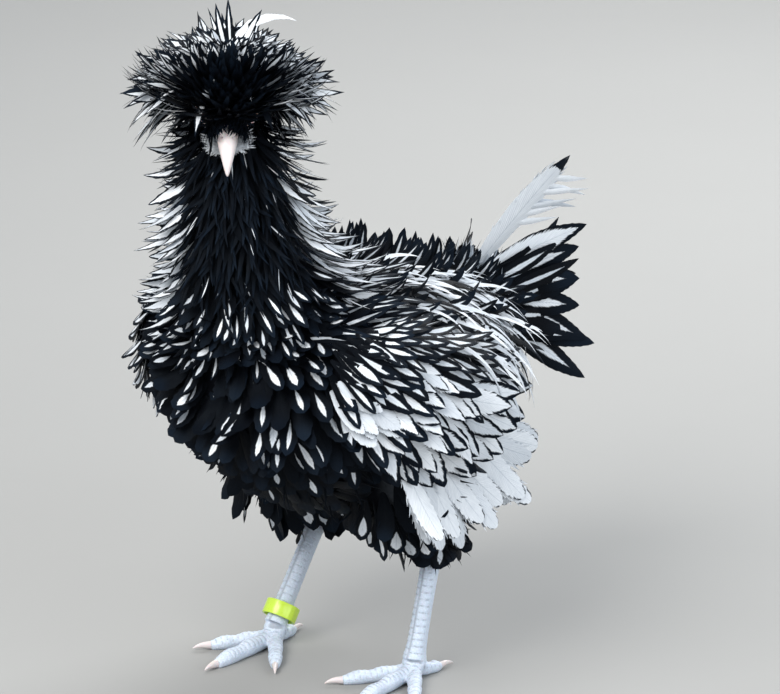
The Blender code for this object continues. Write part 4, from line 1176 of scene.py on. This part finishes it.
def covert_plumes(draw, side):
    """The white, black-laced coverts of one wing, in tiers, and the smaller dark ones of the shoulder."""
    form, mirrored = WING_FORMS[side], side < 0
    plumes = Plumes()
    spots = tract(form, 0.06, 0.30, 0.0055, 0.0065, -80, 140, draw, 0.4, mirrored)
    spots += tract(form, 0.24, 0.84, 0.0085, 0.0085, -80, 130, draw, 0.25, mirrored)
    for t, a, root, out, spot in spots:
        tip = ramp(t, 0.30, -5)
        out = (out + Vector((side, -0.2, 0.3)) * 1.6 * tip).normalized()
        shoulder = ramp(t, 0.38, -4)
        small = max(shoulder, ramp(math.sin(a), 0.15, 2.5))
        length = (0.048 - 0.016 * small - 0.006 * tip) * draw.uniform(0.88, 1.1) * (0.82 if mirrored else 1.0)
        curl = math.radians(20)
        pose = bent(draw, math.radians(9 - 3 * shoulder), (-0.04, 0.08), (curl * 0.3, curl * 1.6), 0.12, 0.18)
        mark = marked(COVERT_MARK if draw.random() > small else SMALL_COVERT_MARK, draw)
        width = (0.0150 - 0.0062 * small) * draw.uniform(0.85, 1.1)
        if (root - WHITE_PATCH).length < PATCH_REACH:
            mark, width = PLAIN_WHITE, width * 1.3
        slope = 0.35 + 0.55 * (1 - t) + 0.25 * max(-math.sin(a), 0)
        way = Vector((side * 0.1, 1.0 - 0.3 * slope, -slope))
        plumes.add(root, way, out, (length, width, 0.0006, 0.006), pose, mark, spot)
    return plumes


def thigh_plumes(draw, side):
    """The soft feathers of the thigh, which hang back and down to the hock."""
    plumes = Plumes()
    for t, _, root, out, spot in tract(THIGH_FORMS[side], 0.15, 0.86, 0.0095, 0.0095, -180, 180, draw, 0.35):
        if TORSO_FORM.holds(root + out * 0.002):
            continue
        length = (0.030 - 0.015 * t if side > 0 else 0.037 - 0.008 * t) * draw.uniform(0.85, 1.15)
        curl = math.radians(28)
        pose = bent(draw, math.radians(20), (-0.12, 0.15), (curl * 0.2, curl * 1.5), 0.25, 0.25)
        mark = marked(THIGH_MARK, draw, 0.35)
        way = Vector((out.x * 0.3, 0.25, -1))
        plumes.add(root, way, out, (length, 0.0125, 0.0005, 0.005), pose, mark, spot)
    return plumes


def add_quill(vanes, barbs, draw, start, size, pose, mark, spot, loose):
    """A long feather: its vane, and the loose barbs that fray its edges and curl away.

    Start is the root, the way along and the way out. Size is the length and width. Loose is 0 for a whole
    edge, and over half gives a comb of long barbs on one edge."""
    root, along, out = start
    length, width = size
    lift, curl, sway = pose
    tone = draw.uniform(0.4, 1)
    vanes.add(root, along, out, (length, width, 0.0008, 0.008), (lift, curl, 0.0, sway), (*mark, tone), spot)
    steps = 30 if loose else 0
    place = root
    side = along.cross(out)
    for k in range(steps):
        share = (k + 0.5) / steps
        angle = lift + curl * share ** 1.4
        yaw = sway * share
        level = along * math.cos(yaw) + side * math.sin(yaw)
        beam = side * math.cos(yaw) - along * math.sin(yaw)
        heading = level * math.cos(angle) + out * math.sin(angle)
        above = out * math.cos(angle) - level * math.sin(angle)
        place = place + heading * length / steps
        if share < 0.25 or share > 0.88:
            continue
        wide = width / 2 * float(np.interp(share, *zip(*QUILL)))
        for hand in SIDES:
            comb = loose > 0.5 and hand > 0 and k % 2 and 0.35 < share < 0.8
            spread = math.radians(62 if comb else 46 - 26 * share) * draw.uniform(0.8, 1.2)
            way = heading * math.cos(spread) + beam * hand * math.sin(spread)
            long = draw.uniform(0.024, 0.033) if comb else draw.uniform(0.0045, 0.0075)
            bend = (draw.uniform(-0.05, 0.2), draw.uniform(-0.3, 0.5), 0.0,
                    hand * (-0.5 if comb else -0.3) * draw.random())
            edge = place + beam * hand * wide * (0.3 if comb else draw.uniform(0.55, 0.8))
            barb_size = (long, 0.0048 if comb else 0.0014, 0.0004, 0.001)
            barbs.add(edge, way, above, barb_size, bend, (*WHITE_BARB, draw.random()), spot)


def flight_plumes(draw, side):
    """The long white flights below and behind the coverts: their vanes, and their loose barbs."""
    vanes, barbs = Plumes(), Plumes()
    count = 14
    for k in range(count):
        share = k / (count - 1)
        dip = math.radians(76 - 42 * share if side > 0 else 52 - 22 * share)
        below = math.radians(-80 + 12 * share)
        t = 0.40 + 0.34 * share
        along = Vector((side * (0.05 - 0.10 * share), math.cos(dip), -math.sin(dip))).normalized()
        out = lie_along(LEFT * side, along)
        root = WING_FORMS[side].at(t, below if side > 0 else math.pi - below) - out * 0.0016 * (k % 2)
        length = (0.060 + 0.010 * math.sin(math.pi * share)) * draw.uniform(0.9, 1.08)
        pose = (0.04 + draw.uniform(-0.03, 0.08), 0.3 * draw.uniform(0.2, 1.8), draw.gauss(0, 0.14))
        start = (root, along, out)
        add_quill(vanes, barbs, draw, start, (length, 0.017), pose, FLIGHT_MARK, (t, k / count), 0.25)
    return vanes, barbs


def tail_plumes(look, draw):
    """The tail quills in a steep tent, the highest on the left, white and frayed: vanes and loose barbs."""
    vanes, barbs = Plumes(), Plumes()
    shorter = 13
    for side, rises in TAIL_RISES.items():
        count = len(rises)
        for k, degrees in enumerate(rises):
            share = k / (count - 1)
            rise = math.radians(degrees)
            spread = math.radians(21 - 14 * math.sin(math.pi * share)) * side
            along = Vector((math.sin(spread), math.cos(spread) * math.cos(rise), math.sin(rise))).normalized()
            root = TAIL_FORM.at(0.55, math.radians(90 - side * (20 + 140 * share)))
            length = look.tail_length - 0.022 * math.sin(math.pi * share) + draw.uniform(-0.003, 0.003)
            width, mark, loose = 0.0175, TAIL_MARK, 0.0
            if side < 0:
                length -= 0.008 * (1 - share)
            elif k == 0:
                length += 0.010
                width, mark, loose = 0.020, HIGHEST_MARK, 1.0
            elif k == 1:
                mark = PALE_TAIL_MARK
            pose = (0.02, 0.22 + draw.uniform(-0.05, 0.2), draw.gauss(0, 0.1))
            start = (root, along, lie_along(Vector((side, 0, 0.15)), along))
            add_quill(vanes, barbs, draw, start, (length, width), pose, mark, (0.5, k / count), loose)
        for k in range(shorter):
            share = draw.random()
            rise = math.radians((18 if side > 0 else -8) - 50 * share)
            along = Vector((side * 0.12, math.cos(rise), math.sin(rise))).normalized()
            out = lie_along(Vector((side, 0, 0.15)), along)
            root = TAIL_FORM.at(0.30, math.radians(90 - side * (30 + 110 * share))) + out * 0.002
            size = (draw.uniform(0.058, 0.078), draw.uniform(0.007, 0.011), 0.0006, 0.006)
            pose = (draw.uniform(0.05, 0.2), draw.uniform(-0.5, 0.1), 0.0, draw.uniform(-0.35, 0.35))
            vanes.add(root, along, out, size, pose, marked(SICKLE_MARK, draw, 0.8), (0.3, k / shorter))
    return vanes, barbs


def saddle_plumes(draw):
    """The narrow curled saddle hackles, mostly white, which fall from the back over the wings."""
    plumes = Plumes()
    curl = -math.radians(72)
    for side, low, high in ((1, 16, 74), (-1, 106, 164)):
        lift = math.radians(38 if side > 0 else 26)
        for _, a, root, out, spot in tract(TORSO_FORM, 0.42, 0.80, 0.0054, 0.0048, low, high, draw, 0.45):
            pose = (lift + draw.uniform(-0.08, 0.12), curl * draw.uniform(0.6, 1.3), draw.gauss(0, 0.15),
                    side * draw.uniform(-0.1, 0.9))
            upper = abs(math.sin(a))
            length = (0.062 - 0.022 * upper ** 4) * draw.uniform(0.7, 1.1)
            size = (length, 0.0050 * draw.uniform(0.7, 1.3), 0.0005, 0.004)
            mark = marked(SADDLE_MARK, draw, 0.9 - 0.4 * upper ** 3)
            plumes.add(root + out * 0.003, Vector((out.x * 0.9, 1.0, -0.15)), out, size, pose, mark, spot)
    return plumes


def tail_cover_plumes(draw):
    """The shorter curled coverts over the roots of the tail and the rump."""
    plumes = Plumes()
    for _, _, root, out, spot in tract(TAIL_FORM, 0.12, 0.8, 0.0065, 0.0075, -180, 180, draw, 0.3):
        pose = bent(draw, 0.15, (-0.1, 0.15), (0.0, 0.3 * 1.4), 0.25, 0.3)
        mark = marked(BACK_MARK, draw, 0.7)
        size = (0.042 * draw.uniform(0.8, 1.1) * (1 - 0.5 * max(out.z, 0)), 0.011, 0.0005, 0.005)
        plumes.add(root, Vector((out.x * 0.3, 1, 0.3 * out.z)), out, size, pose, mark, spot)
    return plumes


def down_wisps(draw):
    """Fine loose down at the belly, thighs and rump, which softens the edge of the plumage."""
    plumes = Plumes()
    thigh = (0.3, 0.97, 0.0038, -180, 180, 0.017)
    tracts = ((TORSO_FORM, 0.35, 1.0, 0.0075, -150, -30, 0.020), (THIGH_FORMS[1], *thigh),
              (THIGH_FORMS[-1], *thigh), (TAIL_FORM, 0.0, 0.7, 0.0028, -180, 180, 0.022))
    for form, first, last, gap, low, high, long in tracts:
        at_tail = form is TAIL_FORM
        for _, _, root, out, spot in tract(form, first, last, gap, gap, low, high, draw, 0.45):
            grey = at_tail and out.z > 0.2
            pose = bent(draw, 0, (0.2, 0.6 if grey else 1.0), (-0.6, 0.8), 0.5, 0.5)
            mark = FLUFF_MARK if grey and draw.random() < 0.6 else (*DARK_MARK, draw.random())
            size = (long * draw.uniform(0.6, 1.2), 0.0016, 0.0005, 0.002)
            way = Vector((out.x * 0.4, 0.5, 0.5 if at_tail else -0.8))
            plumes.add(root, way, out, size, pose, mark, spot)
    return plumes


def grown(name, plumes, outline, segments, nodes, **shape):
    """The plumes as one settled piece with the feather finish, which all of them share."""
    finish = bpy.data.materials.get("laced_vane") or laced_feathers(bpy.context.scene.hen_colours)
    settle(plumes.grow(name, outline, segments, **shape), finish, "laced_feathers", *nodes)


def fresh_draws():
    """Random draws for one group of feathers, the same for the same seed."""
    return random.Random(bpy.context.scene.hen_plumage.seed)


def length_of(name, text, value, least, most):
    """A length setting with its name, description, default and limits."""
    return FloatProperty(name=name, description=text, default=value, min=least, max=most, subtype="DISTANCE",
                         unit="LENGTH")


def colour_of(name, text, value):
    """A colour setting with its name, description and default."""
    return FloatVectorProperty(name=name, description=text, default=value, min=0, max=1, size=3,
                               subtype="COLOR")


class HenPlumage(bpy.types.PropertyGroup):
    """Sizes of the feathers."""

    body_length: length_of("Body feather length", "Length of breast and back feathers", 0.036, 0.01, 0.08)
    body_width: length_of("Body feather width", "Width of breast and back feathers", 0.0135, 0.004, 0.03)
    body_gap: length_of("Row gap", "Distance between rows of body feathers", 0.0094, 0.005, 0.03)
    curl: FloatProperty(name="Curl", description="How far the body feathers turn outwards, in degrees",
                        default=60, min=0, max=160)
    hackle_length: length_of("Hackle length", "Length of the lowest hackles", 0.044, 0.01, 0.08)
    crest_length: length_of("Crest length", "Length of the longest crest feathers", 0.053, 0.01, 0.08)
    tail_length: length_of("Tail length", "Length of the longest tail quills", 0.082, 0.02, 0.12)
    crest_count: IntProperty(name="Crest feathers", description="Number of feathers in the crest",
                             default=1250, min=50, max=1500)
    seed: IntProperty(name="Seed", description="Start of the random variation between feathers", default=7)


class HenColours(bpy.types.PropertyGroup):
    """Colours of plumage, skin, horn and ring."""

    black: colour_of("Black", "Dark part of every feather", (0.0025, 0.003, 0.0045))
    # The blue sheen is painted into the colour of the dark vanes near their tips.
    sheen: colour_of("Blue sheen", "Bluish tone near the tips of dark feathers", (0.008, 0.015, 0.027))
    white: colour_of("White", "Bright part of the feathers", (0.84, 0.87, 0.90))
    # Grey of the darker white feathers, the shafts, the down and the lines between leg scales, and also the
    # painted shade between white barbs.
    grey_and_painted_shade: colour_of("Shade", "Shaded part of the white and the down", (0.36, 0.41, 0.47))
    face: colour_of("Face", "Bare skin of the face", (0.72, 0.56, 0.56))
    horn: colour_of("Horn", "Bill and claws", (0.82, 0.74, 0.73))
    shank: colour_of("Shank", "Scaled skin of the legs", (0.56, 0.63, 0.73))
    iris: colour_of("Iris", "Coloured part of the eye", (0.17, 0.055, 0.016))
    ring: colour_of("Ring", "Plastic of the leg ring", (0.62, 0.86, 0.06))


class HenStage(bpy.types.PropertyGroup):
    """Camera, floor and lights."""

    azimuth: FloatProperty(name="Azimuth", description="Camera's turn round the hen, in degrees", default=38)
    elevation: FloatProperty(name="Elevation", description="Height of the view, in degrees", default=19)
    distance: length_of("Distance", "From the camera to the hen", 7.0, 0.5, 40)
    key: FloatProperty(name="Key light", description="Power of the main light", default=58, unit="POWER")
    floor: colour_of("Floor", "Plain pale floor", (0.29, 0.29, 0.282))


class HEN_OT_skin(bpy.types.Operator):
    """Make one skin over body, head and legs in place of the flesh solids"""

    bl_idname = "hen.skin"
    bl_label = "Skin"

    def execute(self, context):
        colours = context.scene.hen_colours
        finishes = [fluff(colours), bare_face(colours), leg_scales(colours)]
        body, head, legs = body_skin(), head_skin(), [leg_skin(side) for side in SIDES]
        for made in (body, head, *legs):
            for finish in finishes:
                made.data.materials.append(finish)
        for made in legs:
            fill(made.data.polygons, "material_index", [2] * len(made.data.polygons), np.int32)
        bare = [near_face(p.center - SHIFT) for p in head.data.polygons]
        fill(head.data.polygons, "material_index", bare, np.int32)
        skin = merge("skin", [body, head, *legs])
        note(skin.data, "pale", [pale_at(v.co - SHIFT) for v in skin.data.vertices])
        settle(skin, None, "laced_feathers", *FLESH)
        return {"FINISHED"}


class HEN_OT_bill(bpy.types.Operator):
    """Make the two halves of the bill with the nostrils and the line of the mouth"""

    bl_idname = "hen.bill"
    bl_label = "Bill"

    def execute(self, context):
        finish = horn("bill_horn", context.scene.hen_colours.horn)
        settle(upper_beak(), finish, "horn", "beak_upper")
        settle(lower_beak(), finish, "horn", "beak_lower")
        return {"FINISHED"}


class HEN_OT_eyes(bpy.types.Operator):
    """Make both eyes with pupil, iris and a clear front"""

    bl_idname = "hen.eyes"
    bl_label = "Eyes"

    def execute(self, context):
        finish = eye_finish(context.scene.hen_colours)
        for side, hand in HANDS.items():
            settle(eye(side), finish, "eye", f"eye_{hand}")
        return {"FINISHED"}


class HEN_OT_claws(bpy.types.Operator):
    """Make the eight claws"""

    bl_idname = "hen.claws"
    bl_label = "Claws"

    def execute(self, context):
        nodes = [f"claw_{hand}_{toe[0]}" for hand in HANDS.values() for toe in TOES]
        settle(claws(), horn("claw_horn", scaled(context.scene.hen_colours.horn, 0.9)), "horn", *nodes)
        return {"FINISHED"}


class HEN_OT_ring(bpy.types.Operator):
    """Make the leg ring"""

    bl_idname = "hen.ring"
    bl_label = "Leg ring"

    def execute(self, context):
        settle(leg_ring(), ring_plastic(context.scene.hen_colours), "ring_plastic", "leg_ring")
        return {"FINISHED"}


class HEN_OT_body(bpy.types.Operator):
    """Grow the feathers of breast, back, flanks and belly"""

    bl_idname = "hen.body"
    bl_label = "Body feathers"

    def execute(self, context):
        plumes = torso_plumes(context.scene.hen_plumage, fresh_draws())
        grown("torso_feathers", plumes, BROAD, 12, ("torso",), notch=0.08, sweep=0.45)
        return {"FINISHED"}


class HEN_OT_hackles(bpy.types.Operator):
    """Grow the hackles of the neck"""

    bl_idname = "hen.hackles"
    bl_label = "Hackles"

    def execute(self, context):
        plumes = neck_plumes(context.scene.hen_plumage, fresh_draws())
        grown("neck_hackles", plumes, LANCE, 11, ("neck",), notch=0.12, sweep=0.9)
        return {"FINISHED"}


class HEN_OT_beard(bpy.types.Operator):
    """Grow the beard, the muffs and the nape"""

    bl_idname = "hen.beard"
    bl_label = "Beard and muffs"

    def execute(self, context):
        grown("beard_locks", beard_plumes(fresh_draws()), LANCE, 8, ("head",), notch=0.3, sweep=0.9)
        return {"FINISHED"}


class HEN_OT_crest(bpy.types.Operator):
    """Grow the globe crest"""

    bl_idname = "hen.crest"
    bl_label = "Crest"

    def execute(self, context):
        plumes = crest_plumes(context.scene.hen_plumage, fresh_draws())
        grown("crest_feathers", plumes, LANCE, 12, ("crest",), notch=0.14, sweep=1.1)
        return {"FINISHED"}


class HEN_OT_wings(bpy.types.Operator):
    """Grow the coverts and flights of both wings"""

    bl_idname = "hen.wings"
    bl_label = "Wings"

    def execute(self, context):
        draw = fresh_draws()
        for side, hand in HANDS.items():
            wing = f"wing_{hand}"
            coverts = covert_plumes(draw, side)
            vanes, barbs = flight_plumes(draw, side)
            grown(f"{wing}_coverts", coverts, BROAD, 14, (wing,), notch=0.05, sweep=0.4)
            grown(f"{wing}_flights", vanes, QUILL, 30, (wing,), notch=0.12, sweep=0.5)
            grown(f"{wing}_barbs", barbs, WISP, 5, (wing,), camber=0.3)
        return {"FINISHED"}


class HEN_OT_tail(bpy.types.Operator):
    """Grow the tail quills and the curled coverts over their roots"""

    bl_idname = "hen.tail"
    bl_label = "Tail"

    def execute(self, context):
        draw = fresh_draws()
        vanes, barbs = tail_plumes(context.scene.hen_plumage, draw)
        grown("tail_quills", vanes, TAIL_QUILL, 30, ("tail",), notch=0.03, sweep=0.5)
        grown("tail_barbs", barbs, WISP, 5, ("tail",), camber=0.3)
        grown("saddle_hackles", saddle_plumes(draw), LANCE, 12, ("torso",), notch=0.15, sweep=0.6)
        grown("tail_coverts", tail_cover_plumes(draw), LANCE, 12, ("tail",), notch=0.3, sweep=0.8)
        return {"FINISHED"}


class HEN_OT_thighs(bpy.types.Operator):
    """Grow the feathers of both thighs"""

    bl_idname = "hen.thighs"
    bl_label = "Thighs"

    def execute(self, context):
        draw = fresh_draws()
        for side, hand in HANDS.items():
            plumes = thigh_plumes(draw, side)
            grown(f"thigh_{hand}_feathers", plumes, BROAD, 10, (f"thigh_{hand}",), notch=0.1, sweep=0.6)
        return {"FINISHED"}


class HEN_OT_down(bpy.types.Operator):
    """Grow the loose down of belly, thighs and rump"""

    bl_idname = "hen.down"
    bl_label = "Down"

    def execute(self, context):
        grown("down_wisps", down_wisps(fresh_draws()), WISP, 3, (), camber=0.4)
        return {"FINISHED"}


def lay_floor(colour):
    """A wide plain floor."""
    bm = bmesh.new()
    bmesh.ops.create_grid(bm, x_segments=1, y_segments=1, size=6)
    mesh = bpy.data.meshes.new("floor")
    bm.to_mesh(mesh)
    bm.free()
    finish = Finish("floor_paint")
    tint = finish.mix(finish.noise(finish.place(), 8.0), scaled(colour, 0.97), colour)
    mesh.materials.append(finish.done(tint, 0.9))
    linked("floor", mesh)


def add_light(name, away, size, power, colour):
    """One large soft area light that stands away from the hen's middle and points at it."""
    data = bpy.data.lights.new(name, "AREA")
    data.shape = "DISK"
    data.size = size
    data.energy = power
    data.color = colour
    made = linked(name, data)
    made.location = UP * HEN_MIDDLE + away
    made.rotation_euler = (-away).to_track_quat("-Z", "Y").to_euler()


class HEN_OT_stage(bpy.types.Operator):
    """Set up the pale floor, the soft lights and the camera at the photo's angle"""

    bl_idname = "hen.stage"
    bl_label = "Stage"

    def execute(self, context):
        scene, stage = context.scene, context.scene.hen_stage
        lay_floor(stage.floor)
        turn, tilt = math.radians(stage.azimuth), math.radians(stage.elevation)
        right = Vector((math.cos(turn), math.sin(turn), 0))
        back = Vector((math.sin(turn) * math.cos(tilt), -math.cos(turn) * math.cos(tilt), math.sin(tilt)))
        data = bpy.data.cameras.new("camera")
        data.lens = LENS_PER_METRE * stage.distance
        data.sensor_width = 36
        data.clip_end = 50
        scene.camera = linked("camera", data)
        target = right * 0.0238 + back.cross(right) * 0.185 + SHIFT
        scene.camera.location = target + back * stage.distance
        scene.camera.rotation_euler = (-back).to_track_quat("-Z", "Y").to_euler()
        power = stage.key
        add_light("key", back * 1.3 - right * 0.9 + UP, 1.6, power, (1.0, 0.98, 0.95))
        add_light("fill", back * 1.6 + right * 1.3 + UP * 0.3, 1.8, power * 0.4, (0.92, 0.96, 1.0))
        add_light("rim", right * 0.5 - back * 1.2 + UP * 1.3, 1.2, power * 0.5, (1.0, 1.0, 1.0))
        scene.world = bpy.data.worlds.new("soft sky")
        scene.world.use_nodes = True
        sky = scene.world.node_tree.nodes["Background"].inputs
        sky["Color"].default_value = (0.86, 0.92, 1.0, 1)
        sky["Strength"].default_value = 0.60
        scene.view_settings.view_transform = "Standard"
        return {"FINISHED"}


STEPS = (HEN_OT_skin, HEN_OT_bill, HEN_OT_eyes, HEN_OT_claws, HEN_OT_ring, HEN_OT_body, HEN_OT_hackles,
         HEN_OT_beard, HEN_OT_crest, HEN_OT_wings, HEN_OT_tail, HEN_OT_thighs, HEN_OT_down, HEN_OT_stage)


class HEN_PT_panel(bpy.types.Panel):
    """Lists the settings and the steps that dress the hen"""

    bl_idname = "HEN_PT_panel"
    bl_label = "Hen"
    bl_space_type = "VIEW_3D"
    bl_region_type = "UI"
    bl_category = "Hen"

    def draw(self, context):
        for group in (context.scene.hen_plumage, context.scene.hen_colours, context.scene.hen_stage):
            box = self.layout.box()
            for key in group.__annotations__:
                box.prop(group, key)
        for step in STEPS:
            self.layout.operator(step.bl_idname)


CLASSES = (HenPlumage, HenColours, HenStage, *STEPS, HEN_PT_panel)


def register():
    for each in CLASSES:
        bpy.utils.register_class(each)
    bpy.types.Scene.hen_plumage = PointerProperty(type=HenPlumage)
    bpy.types.Scene.hen_colours = PointerProperty(type=HenColours)
    bpy.types.Scene.hen_stage = PointerProperty(type=HenStage)


def unregister():
    del bpy.types.Scene.hen_stage
    del bpy.types.Scene.hen_colours
    del bpy.types.Scene.hen_plumage
    for each in reversed(CLASSES):
        bpy.utils.unregister_class(each)


def main():
    register()
    bpy.ops.hen.skin()
    bpy.ops.hen.bill()
    bpy.ops.hen.eyes()
    bpy.ops.hen.claws()
    bpy.ops.hen.ring()
    bpy.ops.hen.body()
    bpy.ops.hen.hackles()
    bpy.ops.hen.beard()
    bpy.ops.hen.crest()
    bpy.ops.hen.wings()
    bpy.ops.hen.tail()
    bpy.ops.hen.thighs()
    bpy.ops.hen.down()
    bpy.ops.hen.stage()


if __name__ == "__main__":
    main()
